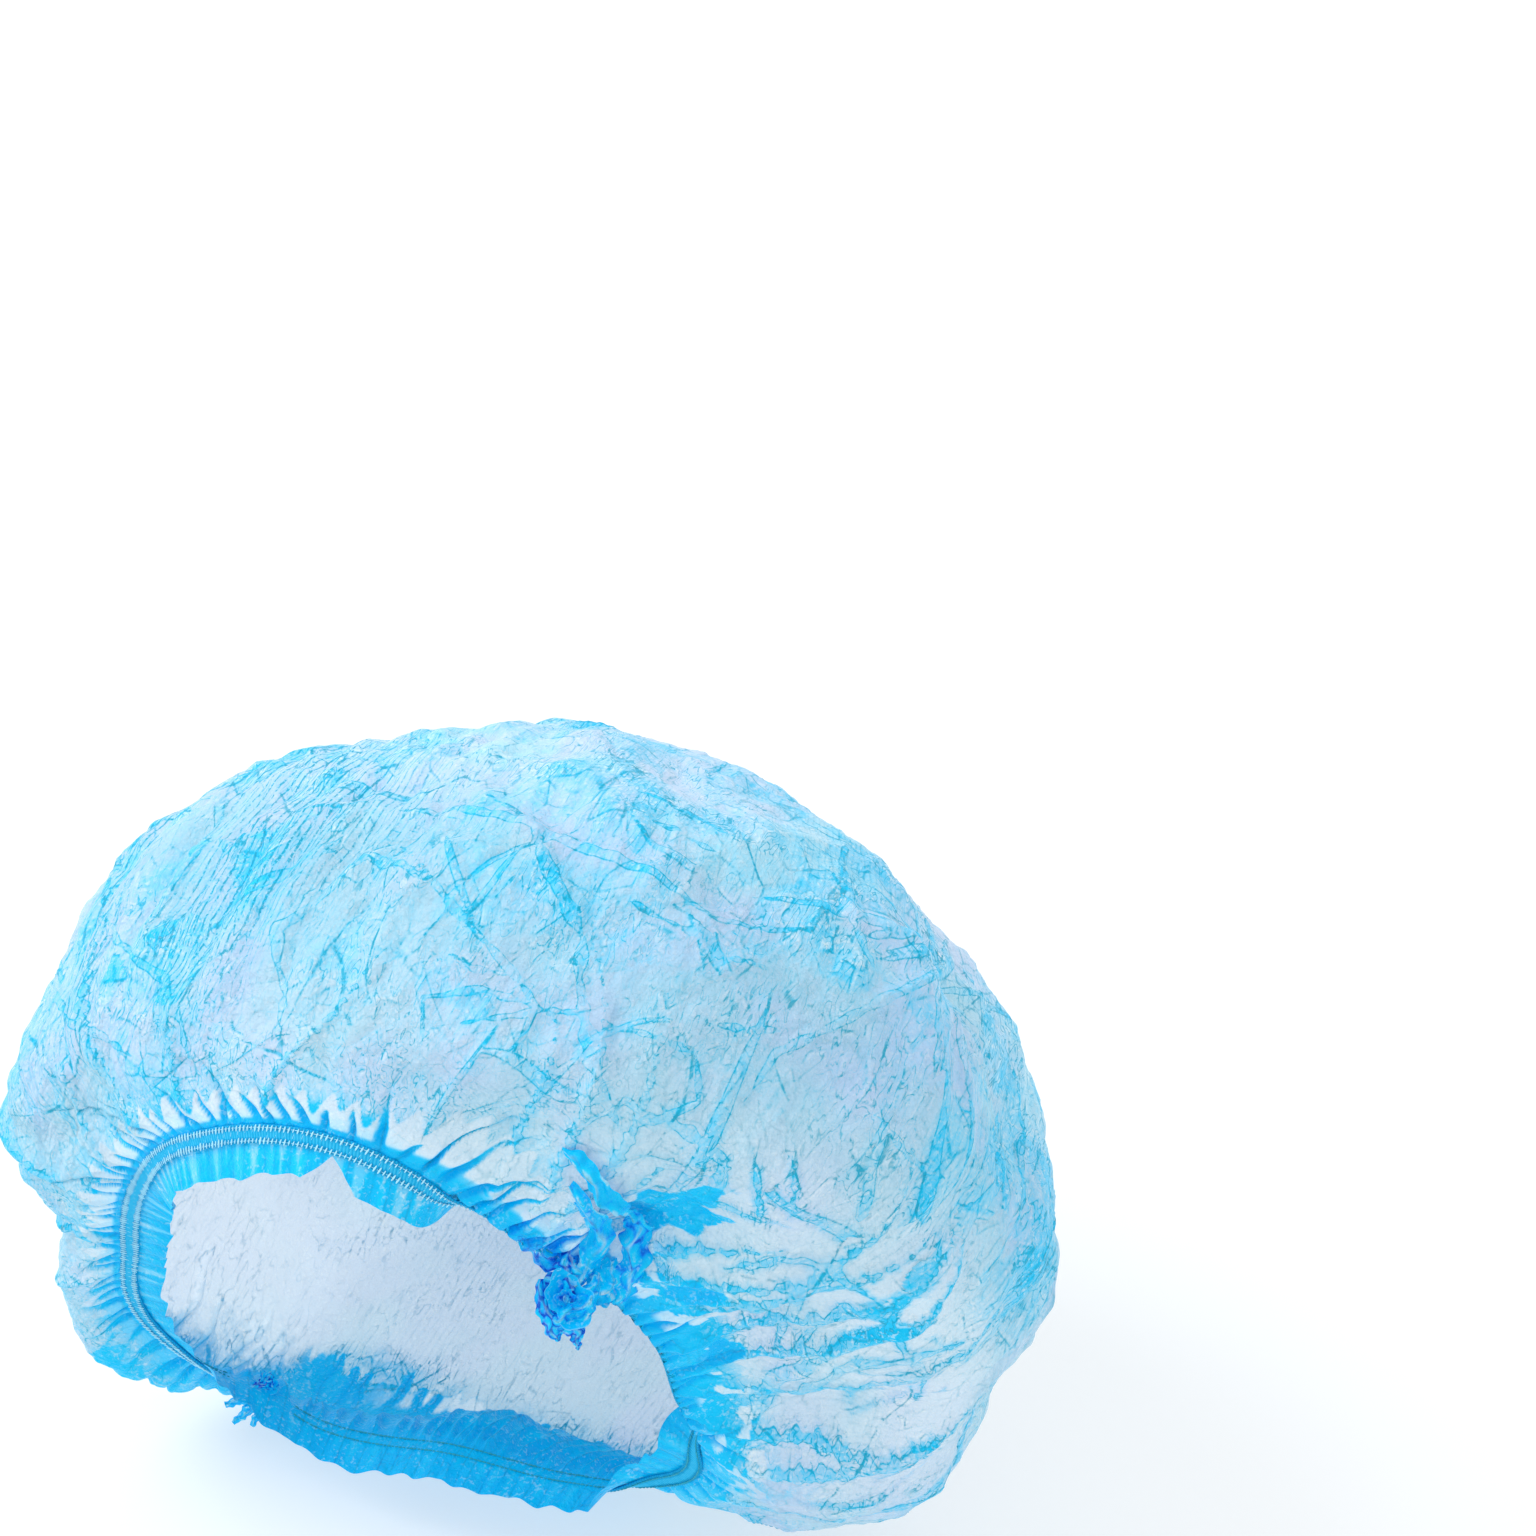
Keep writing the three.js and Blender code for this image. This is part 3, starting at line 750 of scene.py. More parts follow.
    def cut_valleys(self, free):
        """Sinks every gather into the sheet. Returns 1 along the valleys' bottoms and 0 between them."""
        at, behind = self.at, self.at.behind
        start = np.maximum(smooth(behind, 0.2, 3.5), np.minimum(rim_roll(at.deg) / FULL_ROLL, 1))
        valley, strength = np.zeros_like(self.lift), np.zeros_like(self.lift)
        middle_line = np.full_like(self.lift, NO_FOLD)
        for number, (place, reach, width, depth, drift) in enumerate(gather_table()):
            across = np.radians(turn_between(at.deg, place + drift * behind)) * at.radius
            across = across + 0.7 * np.sin(behind / 3.6 + number * 2.4) * smooth(behind, 2, 8)
            wide = width * (1 + free / 14)
            fade = smooth(reach - behind, 0, 5)
            if reach < LONG_GATHER:
                wide = wide * (1 - 0.3 * smooth(behind, 5, 15))
                fade = np.clip(1 - behind / reach, 0, 1) ** 0.7
            near = np.abs(across) < 4 * wide
            dip = np.where(near, bell(across, wide), 0)
            side = 1 if number % 2 else -1
            self.lift += dip * (side * free / RUFFLE * (0.2 + 0.4 * depth) - depth * start * fade)
            valley = np.maximum(valley, dip * fade)
            nearest = near & (np.abs(across) < np.abs(middle_line)) & (fade > 0.05)
            middle_line[nearest] = across[nearest]
            strength[nearest] = fade[nearest]
        marked = np.abs(middle_line) < 1.2
        self.short_signed = np.where(marked, middle_line, self.short_signed)
        self.short_line = np.where(marked, 0.9 * strength**0.5, self.short_line * smooth(behind, 6, 16))
        return valley

    def tint_gathers(self, free, valley, fan, bottom, slack, tight, bunched, flat):
        """Deeper colour where the sheet is bunched: at the elastic, on the ruffle and in the valleys."""
        at, behind = self.at, self.at.behind
        crisp = smooth(valley, 0.22, 0.42)
        rim = bell(behind, around("soak", at.deg), 3)
        near_rim = rim * (0.36 + 0.17 * fan + 0.12 * bottom + 0.10 * crisp + 0.08 * valley)
        farther = 0.10 * valley * (1 - rim) * np.maximum(1 - behind / 30, 0.35 + 0.65 * bottom)
        mottled = 1 - 0.45 * smooth(-turn_between(at.deg, LEFT_DEG), 2, 14)
        lining = bunched * (0.40 + 0.10 * valley + 0.08 * crisp) * mottled
        on_bag = np.maximum(near_rim + 0.10 * valley + farther, lining) + 0.14 * bell(behind, 3.2)
        on_bag = on_bag + 0.17 * bell(behind, 22) * bell_round(at.deg, 112, 62)
        on_bag = on_bag + 0.3 * slack * valley * (1 - rim) + flat
        on_band = (at.past > 0) * (free <= 0) * 0.56
        on_ruffle = (free > 0) * (0.36 + 0.10 * valley + 0.12 * crisp + 0.10 * tight)
        # Deeper colour beside the large bunched end: bunched layers and painted shade.
        shaded_wedge = bell_round(at.deg, *SHADED_WEDGE) * bell(behind, 11)
        self.gathered += on_bag * self.bag + on_band + on_ruffle + shaded_wedge * (0.18 + 0.3 * valley)
        self.gathered = np.minimum(self.gathered, MOST_TINT + 0.18 * shaded_wedge)

    def clear_gathers(self, free, valley, fan, bottom, slack, tight, bunched, into):
        """Clear, pale puffs of single sheet between the valleys."""
        at, behind = self.at, self.at.behind
        tall = 8.5 + 12 * slack + 2.5 * np.sin(at.deg * 1.7) + 1.5 * np.sin(at.deg * 0.83 + 1)
        puff = between(behind, 1.4 + 5 * slack, 2.6 + 6 * slack, tall, tall + 1.2)
        puff = puff * (1 - smooth(valley, 0.1, 0.24)) * (1 - bottom) * (1 - fan_share(at.deg + 12))
        self.clear_and_lit += puff * (0.2 + 0.65 * bell_round(at.deg, 128, 55) + 0.55 * slack)
        self.clear_and_lit += 0.16 * (free > 0) * (1 - smooth(valley, 0.02, 0.12)) * (1 - 0.85 * tight)
        gaps = (1 - smooth(valley, 0.08, 0.3)) * between(into, 0.0, 0.012, 0.05, 0.09)
        self.clear_and_lit += 1.1 * gaps * bunched * bell_round(at.deg, 262, 15)
        crushed = fan * smooth(self.fine_tone, 0.62, 0.72) * between(behind, 4, 7, 15, 22)
        self.clear_and_lit += 0.8 * crushed * self.bag * (1 - smooth(valley, 0.2, 0.5))

    def pull_smooth(self):
        """Fades the creases where the sheet is pulled smooth, most of all on the left-hand side, and makes
        the sheet paler there: smoother single sheet, and painted light on the bag's shaded inside.
        """
        at = self.at
        half, blend = SMOOTHED["half"], SMOOTHED["blend"]
        left = smooth(-turn_between(at.deg, LEFT_DEG), 0, 12)
        amount = 1 - smooth(np.abs(turn_between(at.deg, SMOOTHED["deg"])), half - blend, half)
        amount = amount * (1 - smooth(at.along - 0.2 * left, *SMOOTHED["ends"]))
        amount = amount * smooth(at.along, *SMOOTHED["starts"]) * smooth(at.behind + 27 * left, 55, 72)
        self.fold += 3 * amount
        self.long_line = self.long_line * (1 - 0.9 * amount)
        self.short_line = self.short_line * (1 - 0.8 * amount)
        self.fine_line = self.fine_line * (1 - 0.6 * amount)
        self.small_signed = self.small_signed + 2 * amount * np.sign(self.small_signed)
        # Paler here: partly the smoother sheet, partly painted light on the bag's shaded inside.
        self.gathered -= 0.10 * amount
        self.clear_and_lit += 0.55 * amount


def way_to_line(points, line):
    """How far each point is from a line of straight parts, and how far along the line that is, 0 to 1."""
    away, share_way = np.full(len(points), np.inf), np.zeros(len(points))
    for number, (begin, finish) in enumerate(zip(line[:-1], line[1:])):
        step = finish - begin
        run = np.clip((points - begin) @ step / (step @ step), 0, 1)
        distance = np.linalg.norm(points - begin - run[:, None] * step, axis=1)
        nearer = distance < away
        away[nearer] = distance[nearer]
        share_way[nearer] = (number + run[nearer]) / (len(line) - 1)
    return away, share_way


def turned_way(down, round_way, angle):
    """A way in the sheet, turned from the one towards the elastic, and the way across it."""
    way = math.cos(angle) * down + math.sin(angle) * round_way
    return way, np.cross(way, np.cross(down, round_way))


def fan_share(deg):
    """1 in the middle of the fan of long folds, 0 away from it."""
    return bell_round(deg, FAN_DEG, FAN_HALF)


def bottom_share(deg):
    """1 along the bottom of the mouth, where the sheet is bunched most tightly."""
    return bell_round(deg, *BOTTOM, 6)


def bunched_share(deg, along, valley):
    """1 where the sheet is bunched over the mouth's lower side, and how far inside its ragged edge."""
    places, shares = zip(*BUNCHED_EDGE)
    turn = np.radians(deg)
    ragged = 0.012 * np.sin(turn * 83 + 2 * np.sin(turn * 31)) + 0.007 * np.sin(turn * 211)
    edge = np.interp(deg % 360, places, shares, left=2, right=2) + ragged - 0.06 * smooth(valley, 0.2, 0.5)
    return smooth(along - edge, -0.004, 0.014), along - edge


def stain(deg, along):
    """Where the sheet beside the large bunched end is drawn into flat layers: full colour."""
    full = np.zeros_like(along + deg)
    for middle_deg, middle_along, half_deg, half_along, points in STAINS:
        x, y = turn_between(deg, middle_deg) / half_deg, (along - middle_along) / half_along
        ragged = 1 + 0.22 * np.sin(points * np.arctan2(y, x) + middle_deg)
        drawn = 0.42 + 0.08 * np.sin(deg * 2.6 + along * 60)
        full = np.maximum(full, drawn * (1 - smooth(np.hypot(x, y) / ragged, 0.86, 1.0)))
    return full


def gather_table():
    """Each gather: place, way it reaches behind the elastic, half width, depth and drift."""
    random = np.random.default_rng(GATHER_SEED)
    spacing = random.uniform(0.62, 1.38, GATHERS)
    places = np.cumsum(spacing) / spacing.sum() * 360
    at_bottom, in_fan = bottom_share(places) > 0.5, fan_share(places) > 0.5
    slack = np.abs(turn_between(places, SLACK_DEG)) < SLACK_HALF
    reach = np.clip(random.lognormal(math.log(12), 0.4, GATHERS), 6, 26)
    long = (random.random(GATHERS) < LONG_SHARE) & (np.abs(turn_between(places, 60)) < 90)
    reach = np.where(long, random.uniform(24, LONG_GATHER, GATHERS), reach)
    reach = np.where(slack, random.uniform(20, 34, GATHERS), reach)
    reach = np.where(at_bottom, random.uniform(50, 66, GATHERS), reach)
    reach = np.where(in_fan, 0.6 * reach, reach)
    width = random.uniform(0.6, 1.35, GATHERS) * (1 + 0.3 * bottom_share(places))
    depth = random.uniform(1.1, 2.1, GATHERS) * (1 - 0.4 * bottom_share(places))
    lean = 0.35 * bell(places - 138, 40) - 0.5 * bell(places - 66, 16)
    drift = random.normal(0, 0.16, GATHERS) + lean
    drift = np.where(at_bottom, 0.3 * drift, drift)
    return np.stack([places, reach, width, depth, drift], axis=1)


def surface_frame(deg, along):
    """A place of the smooth bag, with the way towards the elastic and the way round the mouth."""
    turn, step = 0.6, 0.004
    d = np.array([deg, deg, deg, deg + turn, deg - turn])
    a = np.array([along, along + step, along - step, along, along])
    p = sheet_points(d, a, 0 * d, main_folds(d, a, 0 * d))
    return p[0], unit(p[1] - p[2]), unit(p[3] - p[4])


def unit(vectors):
    return vectors / np.maximum(np.linalg.norm(vectors, axis=-1, keepdims=True), 1e-9)


# ---- meshes ---------------------------------------------------------------------------------------


def mesh_object(name, points, faces, attributes):
    """A mesh from points in mm, with attributes on its points."""
    corners = [faces] if isinstance(faces, np.ndarray) else faces
    mesh = bpy.data.meshes.new(name)
    mesh.vertices.add(len(points))
    mesh.vertices.foreach_set("co", ((points + SHIFT) * MM).astype(np.float32).ravel())
    sizes = np.concatenate([np.full(len(group), group.shape[1]) for group in corners])
    mesh.loops.add(int(sizes.sum()))
    indices = np.concatenate([group.ravel() for group in corners])
    mesh.loops.foreach_set("vertex_index", indices.astype(np.int32))
    mesh.polygons.add(len(sizes))
    mesh.polygons.foreach_set("loop_start", (np.cumsum(sizes) - sizes).astype(np.int32))
    mesh.polygons.foreach_set("use_smooth", np.ones(len(sizes), bool))
    mesh.update(calc_edges=True)
    for key, values in attributes.items():
        vector = values.ndim > 1 and values.shape[-1] == 3
        layer = mesh.attributes.new(key, "FLOAT_VECTOR" if vector else "FLOAT", "POINT")
        layer.data.foreach_set("vector" if vector else "value", values.astype(np.float32).ravel())
    piece = bpy.data.objects.new(name, mesh)
    bpy.context.collection.objects.link(piece)
    return piece


def ring_faces(rows, columns, first=0):
    """Quads between closed rows, outer face first."""
    i, j = np.meshgrid(np.arange(rows - 1), np.arange(columns), indexing="ij")
    k = (j + 1) % columns
    quads = np.stack([i * columns + j, i * columns + k, (i + 1) * columns + k, (i + 1) * columns + j], -1)
    return quads.reshape(-1, 4) + first


# The sheet in four rings, each with its own fineness: points round it, rows, and the shares of the
# way from the crown to the elastic where it begins and ends.
SHEET_RINGS = (
    ("crown_back", 640, 112, 0.0, 0.37),
    ("crown_middle", 1280, 72, 0.37, 0.64),
    ("crown_front", 1280, 74, 0.64, 0.86),
    ("crown_rim", 1280, 50, 0.86, 1.0),
)
FREE_STEP = 0.75           # rows of the strip under the elastic and of the ruffle


def free_edge(deg):
    """Scalloped free edge: length of the ruffle as a share of its full width, with one notch."""
    turn = np.radians(deg)
    scallop = 0.5 + 0.5 * np.cos(turn * 41 + 1.5 * np.sin(turn * 7))
    wander = np.sin(turn * 13 + 1) + np.sin(turn * 23 + 2)
    notch = np.clip(1 - np.abs(turn_between(deg, 92)) / 4.6, 0, 1)
    return 1.04 - 0.10 * scallop + 0.05 * wander - 0.95 * notch


def sheet_ring(name, columns, rows, start, end):
    deg = np.arange(columns) * 360 / columns
    along = np.linspace(start, end, rows + 1)
    past = np.zeros(rows + 1)
    at_crown, at_mouth = start == 0, end == 1
    if at_crown:
        along, past = along[1:], past[1:]
    if at_mouth:
        free = np.arange(FREE_STEP, BAND_WIDTH + RUFFLE + 0.01, FREE_STEP)
        along, past = np.append(along, np.ones(len(free))), np.append(past, free)
    at = Places(deg, along, past)
    ruffle = np.maximum(at.past - BAND_WIDTH, 0)
    at.past = np.minimum(at.past, BAND_WIDTH) + ruffle * free_edge(at.deg)
    relief = Relief(at)
    points = sheet_points(at.deg, at.along, at.past, relief.lift)
    if start == SHEET_RINGS[0][4]:
        # the ring behind has half as many points, and every second one here lies on its edges
        points[0, 1::2] = (points[0, 0::2] + np.roll(points[0, 0::2], -1, axis=0)) / 2
    points[..., 2] += FLOOR_AIR
    points = points.reshape(-1, 3)
    attributes = {key: values.reshape(-1, 3) for key, values in relief.attributes().items()}
    if not at_crown:
        return mesh_object(name, points, ring_faces(len(along), columns), attributes)
    pole = points[:columns].mean(axis=0)
    j = np.arange(columns)
    cap = np.stack([0 * j, 1 + (j + 1) % columns, 1 + j], axis=1)
    attributes = {key: np.vstack([values[:1], values]) for key, values in attributes.items()}
    faces = [ring_faces(len(along), columns, 1), cap]
    return mesh_object(name, np.vstack([pole, points]), faces, attributes)


def crown_way(deg, along):
    """Way over the bag from the crown, in mm."""
    return behind_rim(deg, 0 * deg) - behind_rim(deg, 0 * deg + along)


# ---- elastic bands and their stitches -------------------------------------------------------------

BAND_AIR = 0.35            # sheet to the elastic
BAND_THICK = 0.6
BAND_RIB = 0.9             # spacing of the elastic's fine ribs
RIB_POINTS = 4             # points along each rib
RIB_HIGH = 0.12
STITCH_STEP = 1.3
STITCH_ROWS = (0.7, 4.3)   # rows of stitches, past the elastic's rear edge
TICK = 1.9                 # short stitches across each row
THREAD = 0.44
OVER_BAND = BAND_AIR + BAND_THICK + 0.2
UNDER_SHEET = -0.25        # middle of the threads that show inside the cap
CORNER_START = 302         # from here on the threads are as dark as the sheet


def on_rim(deg, past, offset):
    """Points over the strip of sheet that the elastic is sewn to."""
    deg = np.asarray(deg, float)
    along = np.ones_like(deg)
    past = past + ROLL_INSET * np.minimum(rim_roll(deg), 1)
    points = sheet_points(deg, along, past, main_folds(deg, along, past) + offset)
    points[..., 2] += FLOOR_AIR
    return points


def along_rim(start, end, step):
    """Places from one angle to another, a step in mm apart along the elastic."""
    fine = np.linspace(start, end, 4000)
    line = on_rim(fine, BAND_WIDTH / 2, 0)
    way = np.append(0, np.cumsum(np.linalg.norm(np.diff(line, axis=0), axis=1)))
    return np.interp(np.arange(0, way[-1], step), way, fine)


def elastic_band(name, start, end):
    """A flat ribbed ribbon, closed at both ends."""
    deg = along_rim(start + BAND_CLEAR, end - BAND_CLEAR, BAND_RIB / RIB_POINTS)
    rib = np.cos(np.arange(len(deg)) * 2 * math.pi / RIB_POINTS)
    outline = ((0.0, 0.0), (BAND_WIDTH / 2, 0.0), (BAND_WIDTH, 0.0), (BAND_WIDTH, 1.0))
    outline += tuple((BAND_WIDTH * k / 10, 1.0) for k in (9, 8, 7, 5, 3, 2, 1, 0))
    rows = []
    for past, top in outline:
        rows.append(on_rim(deg, past, BAND_AIR + top * (BAND_THICK + RIB_HIGH * rib)))
    points = np.stack(rows, axis=1)
    count, around_band = points.shape[:2]
    first = np.arange(around_band)
    ends = np.stack([first[::-1], first + (count - 1) * around_band])
    faces = [ring_faces(count, around_band)[:, ::-1], ends]
    place = np.tile([past for past, _ in outline], count)
    attributes = {"rib": np.repeat(rib, around_band), "place": place}
    return mesh_object(name, points.reshape(-1, 3), faces, attributes)


def stitch_points(start, end, inner, outside=False):
    """Where each stitch lies, which way it points, how long and how thick it is."""
    deg = along_rim(start + BAND_CLEAR, end - BAND_CLEAR, STITCH_STEP)
    here, following = deg[:-1], deg[1:]
    low, high = STITCH_ROWS
    over = UNDER_SHEET if inner and not outside else OVER_BAND
    runs = []
    for row in STITCH_ROWS:
        runs.append((here, row, following, row, over, 0.95, 1.0 if inner else 0.4))
        if not inner:
            halfway = (here + following) / 2
            runs.append((here, row - TICK / 2, halfway, row + TICK / 2, over + 0.12, 1.0, 1.0))
    if not inner:
        runs.append((deg[:-1:2], low, deg[1::2], high, over - 0.25, 0.8, 0.25))
    places, ways, lengths, thick = [], [], [], []
    for begin, begin_row, finish, finish_row, offset, part, thickness in runs:
        count = min(len(begin), len(finish))
        begin, finish = begin[:count], finish[:count]
        first, last = on_rim(begin, begin_row, offset), on_rim(finish, finish_row, offset)
        length = np.linalg.norm(last - first, axis=1)
        places.append((first + last) / 2)
        ways.append((last - first) / length[:, None])
        lengths.append(length * part)
        thick.append(np.full(len(length), thickness))
    return np.vstack(places), np.vstack(ways), np.concatenate(lengths), np.concatenate(thick)


def stitch_tree():
    """Puts a thread, a small stretched ball, on each point, turned to the point's own way."""
    tree = bpy.data.node_groups.new("sewn_stitches", "GeometryNodeTree")
    tree.interface.new_socket("Geometry", in_out="INPUT", socket_type="NodeSocketGeometry")
    for label, kind, value in (
        ("Thread thickness", "NodeSocketFloat", THREAD * MM),
        ("Unevenness", "NodeSocketFloat", 0.3),
        ("Seed", "NodeSocketInt", 4),
        ("Material", "NodeSocketMaterial", None),
    ):
        socket = tree.interface.new_socket(label, in_out="INPUT", socket_type=kind)
        if value is not None:
            socket.default_value = value
    tree.interface.new_socket("Geometry", in_out="OUTPUT", socket_type="NodeSocketGeometry")
    given = tree.nodes.new("NodeGroupInput")
    inputs = {socket.name: Sock(tree, socket) for socket in given.outputs if socket.name}
    thread = add_node(tree, "GeometryNodeMeshUVSphere", {}, {"Segments": 6, "Rings": 5, "Radius": 0.5})
    way, length, weight = (
        add_node(tree, "GeometryNodeInputNamedAttribute", {"data_type": kind}, {"Name": label})
        for label, kind in (("way", "FLOAT_VECTOR"), ("length", "FLOAT"), ("weight", "FLOAT"))
    )
    turned = add_node(tree, "FunctionNodeAlignRotationToVector", {"axis": "Z"}, {"Vector": way})
    uneven = add_node(
        tree, "FunctionNodeRandomValue", {"data_type": "FLOAT"},
        {"Min": 1 - inputs["Unevenness"], "Max": 1 + inputs["Unevenness"], "Seed": inputs["Seed"]},
        output=1,
    )
    thick = inputs["Thread thickness"] * weight * uneven
    size = add_node(tree, "ShaderNodeCombineXYZ", {}, {"X": thick, "Y": thick, "Z": length * uneven})
    placed = add_node(tree, "GeometryNodeInstanceOnPoints", {}, {
        "Points": inputs["Geometry"], "Instance": thread, "Rotation": turned, "Scale": size,
    })
    real = add_node(tree, "GeometryNodeRealizeInstances", {}, {"Geometry": placed})
    shaded = add_node(tree, "GeometryNodeSetShadeSmooth", {}, {"Geometry": real})
    coloured = add_node(
        tree, "GeometryNodeSetMaterial", {}, {"Geometry": shaded, "Material": inputs["Material"]},
    )
    result = tree.nodes.new("NodeGroupOutput")
    tree.links.new(coloured.socket, result.inputs["Geometry"])
    return tree


def stitches(name, tree, start, end, seed, material, inner=False, outside=False):
    places, way, length, weight = stitch_points(start, end, inner, outside)
    mesh = bpy.data.meshes.new(name + "_places")
    mesh.from_pydata(((places + SHIFT) * MM).tolist(), [], [])
    mesh.attributes.new("way", "FLOAT_VECTOR", "POINT").data.foreach_set("vector", way.ravel())
    mesh.attributes.new("length", "FLOAT", "POINT").data.foreach_set("value", length * MM)
    mesh.attributes.new("weight", "FLOAT", "POINT").data.foreach_set("value", weight)
    holder = bpy.data.objects.new(name + "_places", mesh)
    bpy.context.collection.objects.link(holder)
    modifier = holder.modifiers.new("stitches", "NODES")
    modifier.node_group = tree
    given = {"Seed": seed, "Material": material}
    for item in tree.interface.items_tree:
        if item.in_out == "INPUT" and item.name in given:
            modifier[item.identifier] = given[item.name]
    made = holder.evaluated_get(bpy.context.evaluated_depsgraph_get())
    piece = bpy.data.objects.new(name, bpy.data.meshes.new_from_object(made))
    bpy.data.objects.remove(holder)
    bpy.context.collection.objects.link(piece)
    return piece


# ---- bunched ends ---------------------------------------------------------------------------------

# Crumpled ribbons of a bunched end. Those on the bag follow places on the sheet: degrees round the
# mouth and mm behind the elastic. The loose ones are given from the rim at the pinch, mm to the
# right and up as the bunch faces. Then for both: height over the sheet, half width, depth of the
# lengthwise fold, and how deep the colour is.
BUNCH_FACES = (24, 45)     # azimuth and elevation
LARGE_RIM = 48.5
LARGE_ON_BAG = (
    # leaf over the bag
    ((66.5, 40, 1.0, 0.4, 0.3, 0.55), (65, 41, 2.0, 2.2, 1.0, 0.62), (62.5, 41, 3.2, 2.9, 1.6, 0.6),
     (59.5, 39, 3.6, 3.0, 1.8, 0.6), (56, 35, 3.4, 2.8, 1.6, 0.66), (53, 30, 3.0, 2.2, 1.4, 0.7)),
    # twisted trunk
    ((62, 31, 1.0, 1.0, 0.6, 0.66), (59.5, 31, 3.0, 2.4, 1.4, 0.7), (56, 27, 4.4, 3.0, 2.0, 0.74),
     (52.5, 20, 5.0, 3.2, 2.4, 0.72), (49.5, 13, 5.2, 3.4, 2.4, 0.68), (47, 6, 5.0, 3.0, 2.2, 0.66),
     (46.5, 0, 4.0, 2.4, 1.6, 0.7)),
    # ear to the right
    ((50.5, 25, 1.6, 1.0, 0.6, 0.74), (48.6, 24, 3.2, 3.2, 1.4, 0.78), (46, 20, 4.2, 3.8, 2.2, 0.8),
     (43, 15, 4.4, 3.6, 2.4, 0.78), (40.5, 9, 4.0, 3.2, 2.0, 0.74), (39, 3, 3.2, 3.4, 1.4, 0.68)),
    # lump below the ear
    ((45, 10, 3.0, 1.6, 1.0, 0.6), (43, 6, 4.6, 3.8, 2.4, 0.6), (41.5, 1, 5.0, 4.0, 2.6, 0.62),
     (41, -0.0, 4.6, 2.4, 1.2, 0.66)),
)
LARGE_LOOSE = (
    # dark folds along the mouth
    ((-14, 12, -2.0, 1.0, 0.4, 0.66), (-9, 8, 0.5, 3.2, 1.6, 0.78), (-4, 4, 2.2, 4.0, 2.4, 0.86),
     (1, 1, 3.0, 3.8, 2.4, 0.88), (5, -2, 3.4, 2.6, 1.4, 0.8)),
    ((-2, 10, 1.0, 1.2, 0.6, 0.74), (-1, 5, 3.0, 3.0, 2.0, 0.86), (0.5, 0, 4.2, 2.8, 2.2, 0.9),
     (0, -5, 4.0, 2.0, 1.0, 0.9)),
    ((-6, -2, 0.6, 2.0, 0.6, 0.9), (-2, -5, 1.6, 5.0, 1.0, 0.95), (2, -9, 1.8, 5.0, 1.0, 0.95),
     (5, -12, 1.0, 2.0, 0.6, 0.88)),
    # petals round the rosette
    ((8, -1, 3.0, 1.0, 0.6, 0.7), (6, -6, 5.0, 2.6, 1.8, 0.68), (2, -10.5, 5.4, 2.8, 2.0, 0.74),
     (-3, -12.5, 4.4, 2.4, 1.6, 0.82), (-6, -11, 3.0, 1.0, 0.6, 0.86)),
    ((-6.5, -2, 2.4, 0.8, 0.4, 0.84), (-6.8, -7, 4.4, 1.8, 1.4, 0.9), (-5, -12, 4.0, 2.2, 1.4, 0.88),
     (-3.4, -16, 2.8, 1.8, 0.8, 0.84), (-2.6, -17.5, 2.2, 0.4, 0.2, 0.84)),
    # tail
    ((0, -9, 2.4, 3.0, 1.6, 0.86), (0.4, -13, 2.2, 3.8, 2.0, 0.9), (1.6, -16, 1.8, 2.0, 1.2, 0.88),
     (1.9, -18.5, 1.2, 1.0, 0.6, 0.86), (2.0, -20, 1.0, 0.3, 0.1, 0.86)),
)
LARGE_ROSE = {"middle": (-0.5, -7.0, 3.2), "size": 0.74}
SMALL_RIM = 231
SMALL_ON_BAG = ()
SMALL_LOOSE = (
    ((-1, 4, 1.0, 0.5, 0.3, 0.7), (1, 1, 2.4, 1.8, 1.0, 0.92), (3, -1, 2.0, 1.2, 0.6, 0.8)),
    ((2, 3, 1.6, 0.8, 0.5, 0.86), (-1, 0, 2.6, 1.8, 1.2, 0.96), (-5, -1, 2.2, 1.2, 0.8, 0.84)),
    ((0, 0, 2.0, 1.0, 0.6, 0.8), (-5, -3, 2.4, 1.9, 1.0, 0.7), (-11, -5, 1.4, 0.8, 0.4, 0.62)),
    ((0, -1, 1.8, 1.0, 0.6, 0.8), (-4, -6, 2.2, 1.7, 1.0, 0.66), (-9, -10, 1.2, 0.7, 0.4, 0.6)),
    ((1, -1, 1.8, 1.0, 0.6, 0.8), (-1, -6, 2.0, 1.6, 1.0, 0.66), (-4, -11, 1.0, 0.7, 0.4, 0.6)),
    ((2, -1, 1.6, 0.9, 0.5, 0.76), (2, -5, 1.8, 1.4, 0.8, 0.64), (1, -9, 0.8, 0.6, 0.3, 0.6)),
)
SMALL_ROSE = {"middle": (1.0, 0.5, 1.6), "size": 0.3}
ROSE_TURNS = 1.9
ROSE_STEPS = 240
ROSE_RINGS = 14
RIBBON_ROWS = 60
RIBBON_COLUMNS = 17


def bunch_axes():
    """Right, up and out, as the bunched ends face."""
    azimuth, elevation = (math.radians(angle) for angle in BUNCH_FACES)
    right = np.array([math.cos(azimuth), math.sin(azimuth), 0])
    level = np.array([math.sin(azimuth), -math.cos(azimuth), 0])
    out = level * math.cos(elevation) + np.array([0, 0, math.sin(elevation)])
    return right, np.cross(out, right), out


def lines_on_bag(deg, back):
    """Points of the sheet behind the elastic, and the way out of the sheet there."""
    along = 1 - np.asarray(back, float) / SHARE_BEHIND
    folds = main_folds(deg, along, 0 * along)
    points = sheet_points(deg, along, 0 * along, folds)
    return points, unit(sheet_points(deg, along, 0 * along, folds + 1) - points)


